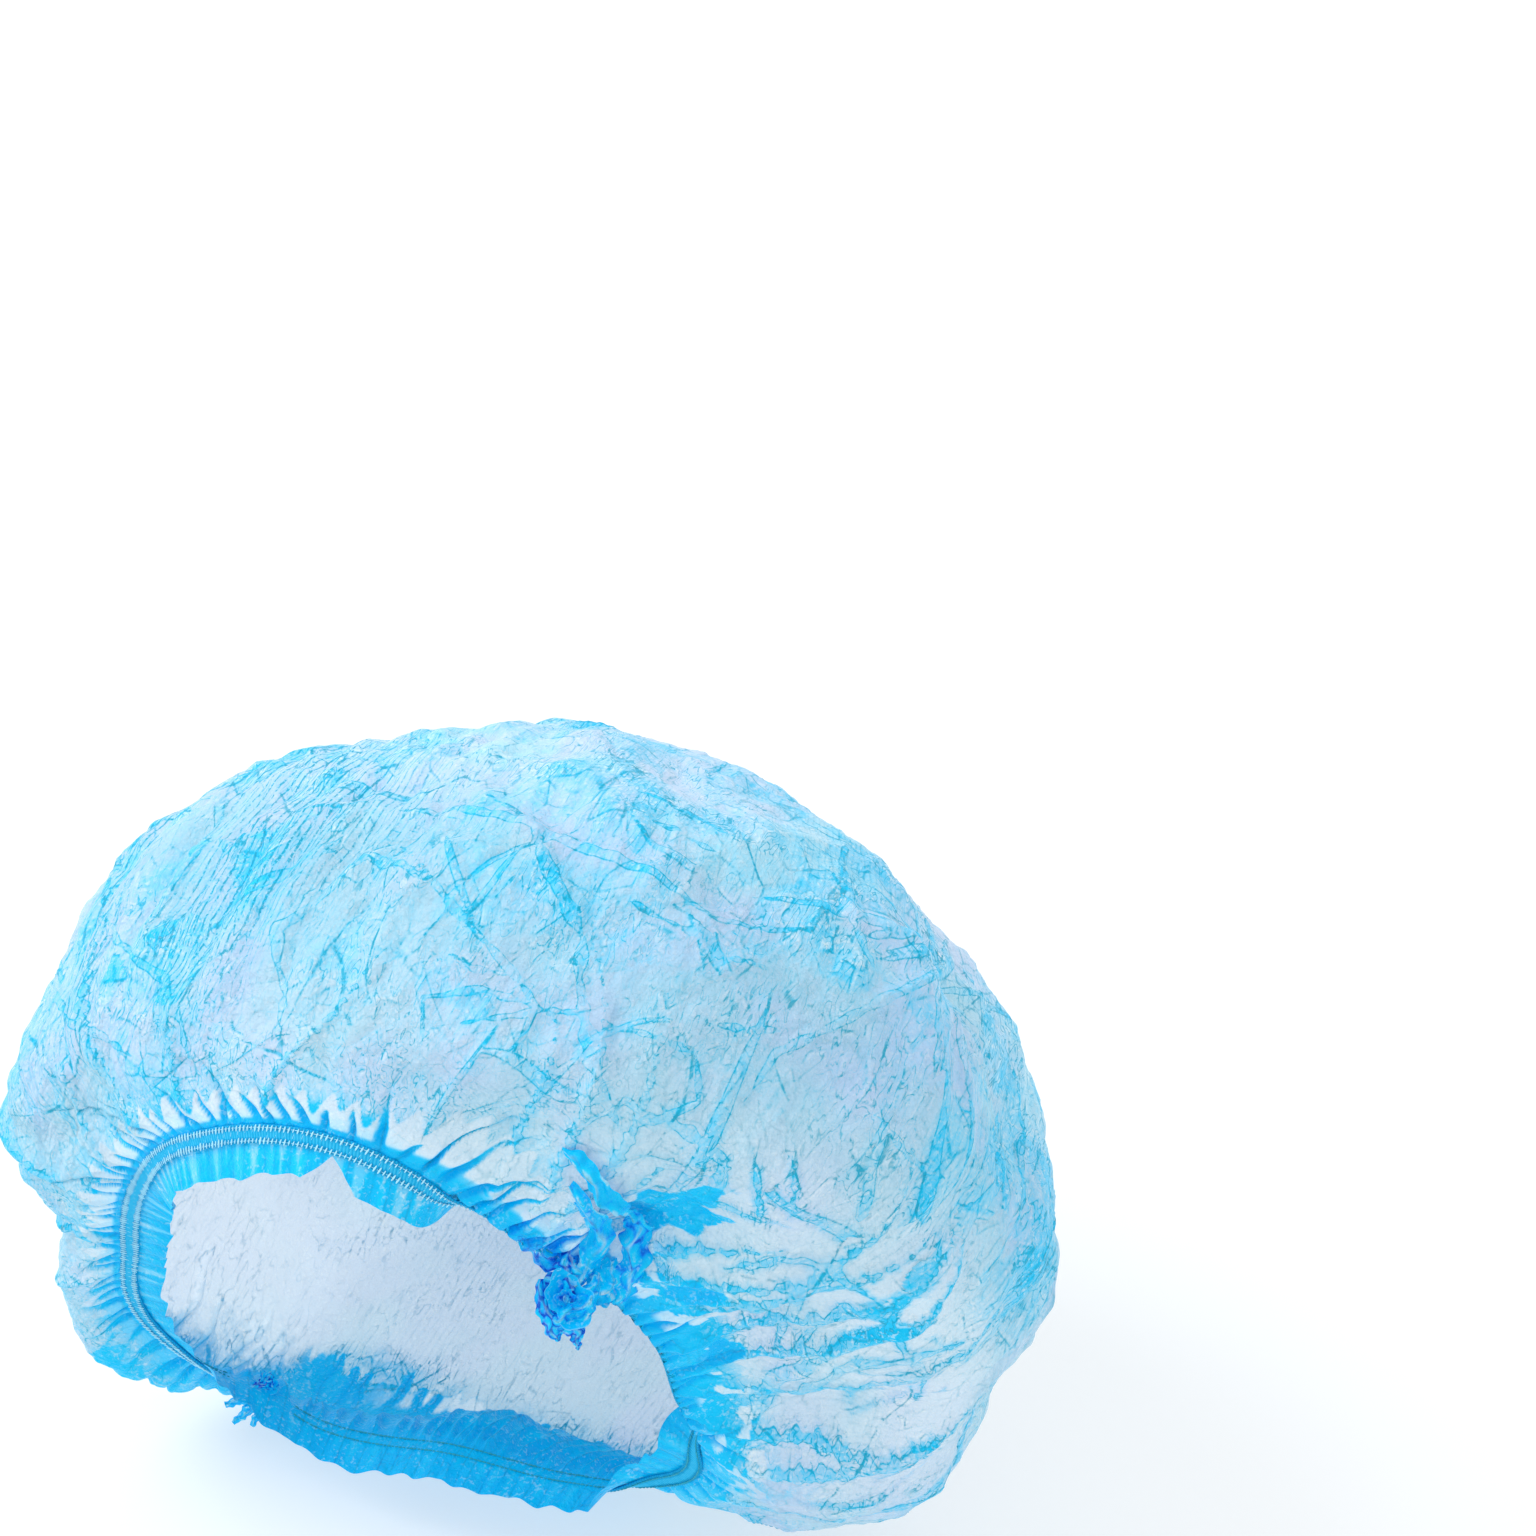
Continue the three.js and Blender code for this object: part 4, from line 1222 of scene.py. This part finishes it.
def ribbon(table, rim, loose, random):
    """Points, faces, colour and painted ridge highlight of one crumpled ribbon."""
    rows = np.array(table, float)
    known = np.linspace(0, 1, len(rows))
    v = np.linspace(0, 1, RIBBON_ROWS)
    u = np.linspace(-1, 1, RIBBON_COLUMNS)
    first, second, high, half, fold, deep = (np.interp(v, known, rows[:, k]) for k in range(6))
    if loose:
        right, up, out = bunch_axes()
        centre = lines_on_bag(np.array([rim]), np.array([0.0]))[0]
        centre = centre + first[:, None] * right + second[:, None] * up
        normal = np.broadcast_to(out, centre.shape)
    else:
        centre, normal = lines_on_bag(first, second)
    centre = centre + high[:, None] * normal
    side = unit(np.cross(np.gradient(centre, axis=0), normal))
    phase = random.uniform(0, 2 * math.pi, 6)
    curl = 0.35 * np.sin(v * 9 + phase[0])[:, None]
    u, v = u[None, :], v[:, None]
    wave = np.sin(u * 2.6 + v * 13 + phase[1]) + 0.6 * np.sin(u * 6.2 - v * 19 + phase[2])
    across = half[:, None] * (u + 0.16 * np.sin(v * 21 + phase[3]) + 0.12 * np.sin(v * 43 + phase[4]) * u)
    ridge = fold[:, None] * (1 - np.abs(u + curl) * 1.6)
    rise = ridge + 0.26 * half[:, None] * wave + curl * u * half[:, None]
    points = centre[:, None] + side[:, None] * across[..., None] + normal[:, None] * rise[..., None]
    corner = np.arange(RIBBON_ROWS - 1)[:, None] * RIBBON_COLUMNS + np.arange(RIBBON_COLUMNS - 1)
    quads = np.stack([corner, corner + RIBBON_COLUMNS, corner + RIBBON_COLUMNS + 1, corner + 1], -1)
    # The colour follows the crumples, palest on their crests: painted light and shade.
    colour = deep[:, None] + 0.2 - 0.34 * np.abs(wave) - 0.1 * wave
    # A pale line along the ribbon's ridge: painted highlight.
    pale = 0.55 * np.exp(-(((u + curl) / 0.10) ** 2)) * (0.5 + 0.5 * np.sin(v * 17 + phase[5]))
    crease = (u + curl) * half[:, None]
    return points.reshape(-1, 3), quads.reshape(-1, 4), colour.ravel(), pale.ravel(), crease.ravel()


def rosette(rose, rim):
    """A ruffled strip wound on itself, seen end on: the gathered end of the sheet."""
    u, v = np.meshgrid(np.linspace(0, 1, ROSE_STEPS), np.linspace(0, 1, ROSE_RINGS))
    angle = 2 * math.pi * ROSE_TURNS * u
    wave = np.sin(angle * 2.3 + 1) + 0.7 * np.sin(angle * 3.9 + 2) + 0.5 * np.sin(angle * 7.1)
    radius = (0.4 + 4.2 * u + v * (1.6 + 4.4 * u) * (1 + 0.24 * wave)) * (1 + 0.25 * np.cos(angle - 0.6))
    height = 0.4 + v * (5.6 - 3.2 * u) + v * v * 1.1 * wave
    right, up, out = bunch_axes()
    x, y, z = rose["middle"]
    size = rose["size"]
    centre = lines_on_bag(np.array([rim]), np.array([0.0]))[0][0] + x * right + y * up + z * out
    parts = (radius * np.cos(angle), radius * np.sin(angle), height)
    points = centre + size * sum(part[..., None] * axis for part, axis in zip(parts, (right, up, out)))
    corner = np.arange(ROSE_RINGS - 1)[:, None] * ROSE_STEPS + np.arange(ROSE_STEPS - 1)
    quads = np.stack([corner, corner + 1, corner + ROSE_STEPS + 1, corner + ROSE_STEPS], -1)
    # Deepest at the wound middle and at the foot of the strip: many layers there, and painted shade in the
    # rosette's hollow.
    colour = 1.0 - 0.22 * v - 0.20 * u + 0.05 * wave
    # Pale along the top edges of the outer turns: painted highlights.
    pale = 0.4 * u * smooth(v, 0.93, 1.0) * (0.5 + 0.5 * np.sin(angle * 3))
    no_crease = np.full(pale.size, NO_FOLD)
    return points.reshape(-1, 3), quads.reshape(-1, 4), colour.ravel(), pale.ravel(), no_crease


def end_tuft(name, rim, on_bag, loose, rose, seed):
    random = np.random.default_rng(seed)
    parts = [ribbon(table, rim, False, random) for table in on_bag]
    parts += [ribbon(table, rim, True, random) for table in loose]
    parts.append(rosette(rose, rim))
    starts = np.cumsum([0] + [len(part[0]) for part in parts])
    points = np.vstack([part[0] for part in parts])
    points[:, 2] = np.maximum(points[:, 2], FLOOR_AIR)
    faces = [part[1] + start for part, start in zip(parts, starts)]
    # pale carries the painted highlights of the ribbons and the rosette, in the place that the sheet keeps
    # for its clear pale patches.
    colour, pale, crease = (np.concatenate([part[k] for part in parts]) for k in (2, 3, 4))
    none, far = 0 * colour, 0 * colour + NO_FOLD
    return mesh_object(name, points, faces, {
        "layers": np.stack([colour, far, none], axis=1),
        "creases": np.stack([crease, far, pale], axis=1),
        "lines": np.stack([none + 0.9, none, far], axis=1),
        "crinkles": np.stack([far, none, none + 0.5], axis=1),
    })


# ---- shader expressions ---------------------------------------------------------------------------


class Sock:
    """A socket that can be written in sums: an operator on values adds its Math node."""

    def __init__(self, tree, socket):
        self.tree, self.socket = tree, socket

    def math(self, operation, *others, clamp=False):
        return add_node(
            self.tree, "ShaderNodeMath", {"operation": operation, "use_clamp": clamp},
            dict(enumerate((self, *others))),
        )

    def __add__(self, other):
        return self.math("ADD", other)

    __radd__ = __add__

    def __sub__(self, other):
        return self.math("SUBTRACT", other)

    def __rsub__(self, other):
        return add_node(self.tree, "ShaderNodeMath", {"operation": "SUBTRACT"}, {0: other, 1: self})

    def __mul__(self, other):
        return self.math("MULTIPLY", other)

    __rmul__ = __mul__

    def absolute(self):
        return self.math("ABSOLUTE")

    def clamped(self):
        return self.math("ADD", 0.0, clamp=True)

    def smooth(self, low, high, to_low=0.0, to_high=1.0):
        return add_node(
            self.tree, "ShaderNodeMapRange", {"interpolation_type": "SMOOTHSTEP"},
            {"Value": self, "From Min": low, "From Max": high, "To Min": to_low, "To Max": to_high},
        )

    def mix_colour(self, low, high):
        """The colour between two others; sockets 6 and 7 are the Mix node's own colours."""
        return add_node(
            self.tree, "ShaderNodeMix", {"data_type": "RGBA"},
            {"Factor": self, 6: low, 7: high}, output=2,
        )

    def ramp(self, *stops):
        return add_node(self.tree, "ShaderNodeValToRGB", {"stops": stops}, {"Fac": self})


def add_node(tree, kind, settings=(), values=(), output=0):
    """A node of any kind: its settings first, then the values or links of its sockets."""
    node = tree.nodes.new(kind)
    for key, value in dict(settings).items():
        if key == "stops":
            ramp = node.color_ramp
            while len(ramp.elements) < len(value):
                ramp.elements.new(1.0)
            for element, (place, colour) in zip(ramp.elements, value):
                element.position, element.color = place, (*colour, 1.0)
        else:
            setattr(node, key, value)
    for key, value in dict(values).items():
        socket = node.inputs[key]
        if isinstance(value, Sock):
            tree.links.new(value.socket, socket)
        else:
            socket.default_value = value
    return Sock(tree, node.outputs[output])


def new_material(name):
    material = bpy.data.materials.new(name)
    material.use_nodes = True
    tree = material.node_tree
    tree.nodes.clear()
    return material, tree


def finish_material(tree, shader):
    output = tree.nodes.new("ShaderNodeOutputMaterial")
    tree.links.new(shader.socket, output.inputs["Surface"])


def noise(tree, where, scale, detail=2.0, roughness=0.5, distortion=0.0):
    return add_node(tree, "ShaderNodeTexNoise", {}, {
        "Vector": where, "Scale": scale, "Detail": detail, "Roughness": roughness, "Distortion": distortion,
    })


CRINKLE_SCALE = 230.0      # noises of the sheet, from the finest: grain, crinkles and patches
GRAIN_SCALE = 950.0
PATCH_SCALE = 55.0
STREAK_TURN = (0.5, 0.3, 0.4)
STREAK_SCALE = (420.0, 90.0, 260.0)
STREAK_WAVES = 42
PALE_CYAN = (0.42, 0.66, 0.77)
PALE_LAVENDER = (0.49, 0.62, 0.80)
WHITISH = (0.74, 0.84, 0.88)
SKY = (0.09, 0.54, 0.78)
CYAN = (0.0, 0.50, 0.82)
AZURE = (0.0, 0.41, 0.79)
ROYAL = (0.0, 0.27, 0.78)
DEEP = (0.0, 0.08, 0.52)
TEAL = (0.015, 0.28, 0.41)


def vector_parts(tree, name):
    """The three numbers of a vector that the mesh carries on its points."""
    vector = add_node(tree, "ShaderNodeAttribute", {"attribute_name": name}, output=1)
    split = add_node(tree, "ShaderNodeSeparateXYZ", {}, {"Vector": vector})
    return [Sock(tree, split.socket.node.outputs[axis]) for axis in range(3)]


def sheet_material():
    """Thin translucent sheet: paler and clearer where it is single, deep where it is bunched."""
    material, tree = new_material("thin_sheet")
    where = add_node(tree, "ShaderNodeTexCoord", output=3)
    gathered, fold, hue = vector_parts(tree, "layers")
    long_signed, short_signed, clear_and_lit = vector_parts(tree, "creases")
    long_line, short_line, small_signed = vector_parts(tree, "lines")
    round_mouth, memory, close = vector_parts(tree, "pleats")
    fine_signed, fine_line, fine_tone = vector_parts(tree, "crinkles")
    crinkle = noise(tree, where, CRINKLE_SCALE, 2.0, 0.6, 1.3)
    fine = noise(tree, where, GRAIN_SCALE, 1.0, 0.5, 0.5)
    single = gathered.smooth(0.28, 0.5, 1.0, 0.0)
    inside = fold.smooth(-0.25, 0.25, 1.0, 0.0)
    fold_edge = (fold + 0.1).absolute().smooth(0.0, 0.36, 1.0, 0.0)
    long_crease = long_signed.absolute().smooth(0.05, 0.5, 1.0, 0.0) * long_line
    short_crease = short_signed.absolute().smooth(0.05, 0.4, 1.0, 0.0) * short_line
    small_crease = small_signed.absolute().smooth(0.05, 0.4, 1.0, 0.0)
    dark_line = fine_signed.absolute().smooth(0.04, 0.34, 1.0, 0.0) * fine_line
    # A pale line beside each fine crease: painted highlight.
    crease_highlight = (fine_signed - 0.6).absolute().smooth(0.06, 0.4, 1.0, 0.0) * fine_line
    streak = noise(tree, add_node(tree, "ShaderNodeMapping", {}, {
        "Vector": where, "Rotation": STREAK_TURN, "Scale": STREAK_SCALE,
    }), 1.0, 1.0, 0.5, 0.6)
    hair = (streak - 0.5).absolute().smooth(0.008, 0.03, 1.0, 0.0)
    patchy = noise(tree, where, PATCH_SCALE, 1.0).smooth(0.36, 0.62)
    hairs = hair * fine.smooth(0.25, 0.5) * (patchy * 0.75 + 0.25)
    pleat = (round_mouth * (2 * math.pi / MEMORY_STEP)).math("SINE").smooth(0.35, 0.95)
    broken = crinkle.smooth(0.36, 0.56)
    lines = fold_edge * 0.62 + long_crease * 0.9 + short_crease * 0.8
    lines = lines + small_crease * (1 - patchy) * 0.5 + dark_line * (patchy * 0.5 + 0.36)
    lines = lines * (broken * 0.85 + 0.15) + hairs * (single * 0.3 + 0.14)
    lines = lines + pleat * memory * fine.smooth(0.3, 0.6)
    wrinkles = (streak * STREAK_WAVES).math("SINE").smooth(0.5, 0.96) * fine.smooth(0.3, 0.5)
    lines = lines + wrinkles * single * (1 - clear_and_lit.smooth(0.2, 0.6)) * (patchy * 0.3 + 0.05)
    lines = (lines * (single * 0.45 + 0.55)).clamped()
    glint = (fine * 0.6 + crinkle * 0.4).smooth(0.53, 0.66)
    uneven = (0.5 - fine) * 0.16 + (0.5 - crinkle) * 0.18 + (fine_tone - 0.5) * 0.1
    amount = gathered + inside * single * 0.1 + lines * 0.26 - clear_and_lit * 0.34 + uneven
    pale = hue.smooth(0.1, 0.9).mix_colour((*PALE_CYAN, 1), (*PALE_LAVENDER, 1))
    deep = amount.ramp((0.0, SKY), (0.2, SKY), (0.42, CYAN), (0.8, AZURE), (0.9, ROYAL), (1.0, DEEP))
    colour = amount.smooth(0.0, 0.4).mix_colour(pale, deep)
    # Whitish where the sheet is clear and single; also painted glints, painted highlights beside the fine
    # creases, and the painted light carried with the clear places.
    white = clear_and_lit * 0.75 + glint * (single * 0.22 + patchy * 0.2)
    white = (white + crease_highlight * single * (patchy * 0.36 + 0.1)).clamped()
    colour = white.mix_colour(colour, (*WHITISH, 1))
    colour = (lines * 0.8).clamped().mix_colour(colour, (*TEAL, 1))
    alpha = (amount.smooth(-0.15, 0.5, 0.54, 0.99) + lines * 0.3 + close * 0.34).clamped()
    height = crinkle * 0.6 + fine * 0.4
    bump = add_node(tree, "ShaderNodeBump", {}, {"Strength": 0.75, "Distance": 0.0012, "Height": height})
    # The sheet glows faintly in its own colour: painted light standing in for light that passes through the
    # thin sheet and reaches its shaded inside.
    shader = add_node(tree, "ShaderNodeBsdfPrincipled", {}, {
        "Base Color": colour, "Roughness": 0.34, "Alpha": alpha, "Normal": bump,
        "IOR": 1.46, "Specular IOR Level": 0.14, "Emission Color": colour, "Emission Strength": 0.2,
    })
    finish_material(tree, shader)
    return material


def elastic_material():
    """Ribbed elastic, tinted like the bunched sheet that it lies on."""
    material, tree = new_material("elastic_band")
    rib = add_node(tree, "ShaderNodeAttribute", {"attribute_name": "rib"}, output=2)
    where = add_node(tree, "ShaderNodeTexCoord", output=3)
    grain = noise(tree, where, 700.0, 2.0)
    place = add_node(tree, "ShaderNodeAttribute", {"attribute_name": "place"}, output=2)
    middle = (place - BAND_WIDTH / 2).absolute()
    sewn = (middle - (STITCH_ROWS[1] - STITCH_ROWS[0]) / 2).absolute().smooth(0.5, 1.1, 1.0, 0.0)
    tone = (rib * 0.2 + grain * 0.5 + 0.4 - sewn * 0.36).clamped()
    colour = tone.ramp((0.0, (0.0, 0.26, 0.50)), (0.5, (0.0, 0.44, 0.80)), (1.0, (0.06, 0.60, 0.92)))
    bump = add_node(tree, "ShaderNodeBump", {}, {"Strength": 0.5, "Distance": 0.0003, "Height": grain})
    shader = add_node(tree, "ShaderNodeBsdfPrincipled", {}, {
        "Base Color": colour, "Roughness": 0.6, "Normal": bump, "Specular IOR Level": 0.2,
    })
    finish_material(tree, shader)
    return material


def plain_material(name, colour, rough, glow=0.0):
    material, tree = new_material(name)
    where = add_node(tree, "ShaderNodeTexCoord", output=3)
    grain = noise(tree, where, 900.0, 3.0)
    tone = grain.smooth(0.3, 0.7).mix_colour((*[c * 0.86 for c in colour], 1), (*colour, 1))
    bump = add_node(tree, "ShaderNodeBump", {}, {"Strength": 0.4, "Distance": 0.0003, "Height": grain})
    shader = add_node(tree, "ShaderNodeBsdfPrincipled", {}, {
        "Base Color": tone, "Roughness": rough, "Normal": bump,
        "Emission Color": (*colour, 1), "Emission Strength": glow,
    })
    finish_material(tree, shader)
    return material


# ---- stage ----------------------------------------------------------------------------------------

CAMERA_AZIMUTH = 24
CAMERA_ELEVATION = 45
CAMERA_DISTANCE = 1.4034
CAMERA_LENS = 124
CAMERA_SENSOR = 36
AIM_RIGHT = 0.0566         # the aim lies to the right of the bag's middle and above it
AIM_UP = 0.0961
FLOOR_HALF = 4.0
FLOOR_COLOUR = (0.56, 0.565, 0.57, 1)
FLOOR_GLOW = 0.46          # keeps the floor pale beside the cap's soft shadow
ROOM_COLOUR = (0.95, 0.98, 1.0, 1)
ROOM_STRENGTH = 0.9
KEY_PLACE = (-1.3, -0.2, 1.6)
KEY_TARGET = (0, 0, 0.1)
KEY_SIZE = 1.2
KEY_POWER = 20


def camera():
    azimuth, elevation = math.radians(CAMERA_AZIMUTH), math.radians(CAMERA_ELEVATION)
    toward = Vector((
        math.sin(azimuth) * math.cos(elevation),
        -math.cos(azimuth) * math.cos(elevation),
        math.sin(elevation),
    ))
    right = Vector((math.cos(azimuth), math.sin(azimuth), 0))
    up = toward.cross(right)
    middle = Vector((SHIFT[0] * MM, SHIFT[1] * MM, MIDDLE_HEIGHT * MM))
    place = middle + toward * CAMERA_DISTANCE
    back = (place - (middle + right * AIM_RIGHT + up * AIM_UP)).normalized()
    side = Vector((0, 0, 1)).cross(back).normalized()
    turn = Matrix((side, back.cross(side), back)).transposed().to_4x4()
    data = bpy.data.cameras.new("camera")
    data.lens = CAMERA_LENS
    data.sensor_width = CAMERA_SENSOR
    holder = bpy.data.objects.new("camera", data)
    holder.matrix_world = Matrix.Translation(place) @ turn
    bpy.context.collection.objects.link(holder)
    bpy.context.scene.camera = holder


def key_light():
    data = bpy.data.lights.new("key", "AREA")
    data.size, data.energy = KEY_SIZE, KEY_POWER
    lamp = bpy.data.objects.new("key", data)
    lamp.location = KEY_PLACE
    lamp.rotation_euler = (Vector(KEY_PLACE) - Vector(KEY_TARGET)).to_track_quat("Z", "Y").to_euler()
    bpy.context.collection.objects.link(lamp)


def stage():
    floor_mesh = bpy.data.meshes.new("floor")
    corners = [(x * FLOOR_HALF, y * FLOOR_HALF, 0) for x, y in ((-1, -1), (1, -1), (1, 1), (-1, 1))]
    floor_mesh.from_pydata(corners, [], [(0, 1, 2, 3)])
    floor = bpy.data.objects.new("floor", floor_mesh)
    material, tree = new_material("pale_floor")
    shader = add_node(tree, "ShaderNodeBsdfPrincipled", {}, {
        "Base Color": FLOOR_COLOUR, "Roughness": 0.9, "Specular IOR Level": 0.1,
        "Emission Color": (1, 1, 1, 1), "Emission Strength": FLOOR_GLOW,
    })
    finish_material(tree, shader)
    floor_mesh.materials.append(material)
    bpy.context.collection.objects.link(floor)
    world = bpy.data.worlds.new("soft_studio")
    world.use_nodes = True
    background = world.node_tree.nodes["Background"]
    background.inputs["Color"].default_value = ROOM_COLOUR
    background.inputs["Strength"].default_value = ROOM_STRENGTH
    bpy.context.scene.world = world
    key_light()
    bpy.context.scene.view_settings.view_transform = "Standard"
    light_paths = bpy.context.scene.cycles
    light_paths.max_bounces = 4
    light_paths.diffuse_bounces = 3
    light_paths.glossy_bounces = 2
    light_paths.transparent_max_bounces = 24


# ---- assembly -------------------------------------------------------------------------------------

SHIFT = frame_shift()
camera()
stage()

sheet = sheet_material()
elastic = elastic_material()
# The outer thread glows faintly: painted light that keeps it bright where it lies in shade.
thread = plain_material("thread", (0.40, 0.80, 0.96), 0.6, 0.12)
inner_thread = plain_material("inner_thread", (0.01, 0.42, 0.55), 0.6)
sewing = stitch_tree()


def declare_cut(piece, start, end):
    """Works out what a ring of the sheet measures in the flat cut, which is a disc about the crown."""
    deg = np.arange(0, 360, 10.0)
    outer, inner = (crown_way(deg, share_way).mean() * MM for share_way in (end, start))
    outer = outer + (BAND_WIDTH + RUFFLE) * MM * (end == 1)
    if start == 0:
        2 * outer
        2 * outer
        math.pi * outer**2
    else:
        outer - inner


def add_piece(piece, material, replaced=None):
    if not piece.data.materials:
        piece.data.materials.append(material)
    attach(piece, "root")
    if replaced:
        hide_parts(replaced)


for ring in SHEET_RINGS:
    piece = sheet_ring(*ring)
    add_piece(piece, sheet, "crown")
    declare_cut(piece, *ring[3:])
for side, start, end, seed in (
    ("upper", PINCH_LARGE, PINCH_SMALL, 4),
    ("lower", PINCH_SMALL, PINCH_LARGE + 360, 8),
):
    band = elastic_band("band_" + side, start, end)
    add_piece(band, elastic, "elastic_" + side)
    shown = min(end, CORNER_START)
    add_piece(stitches("stitches_" + side, sewing, start, shown, seed, thread), thread)
    inner = stitches("inner_stitches_" + side, sewing, start, end, seed + 1, inner_thread, inner=True)
    add_piece(inner, inner_thread)
corner = stitches("stitches_corner", sewing, CORNER_START, PINCH_LARGE + 360, 9, inner_thread, True, True)
add_piece(corner, inner_thread)
large = end_tuft("tuft_large", LARGE_RIM, LARGE_ON_BAG, LARGE_LOOSE, LARGE_ROSE, 21)
small = end_tuft("tuft_small", SMALL_RIM, SMALL_ON_BAG, SMALL_LOOSE, SMALL_ROSE, 22)
add_piece(large, sheet, "end_tuft_large")
add_piece(small, sheet, "end_tuft_small")
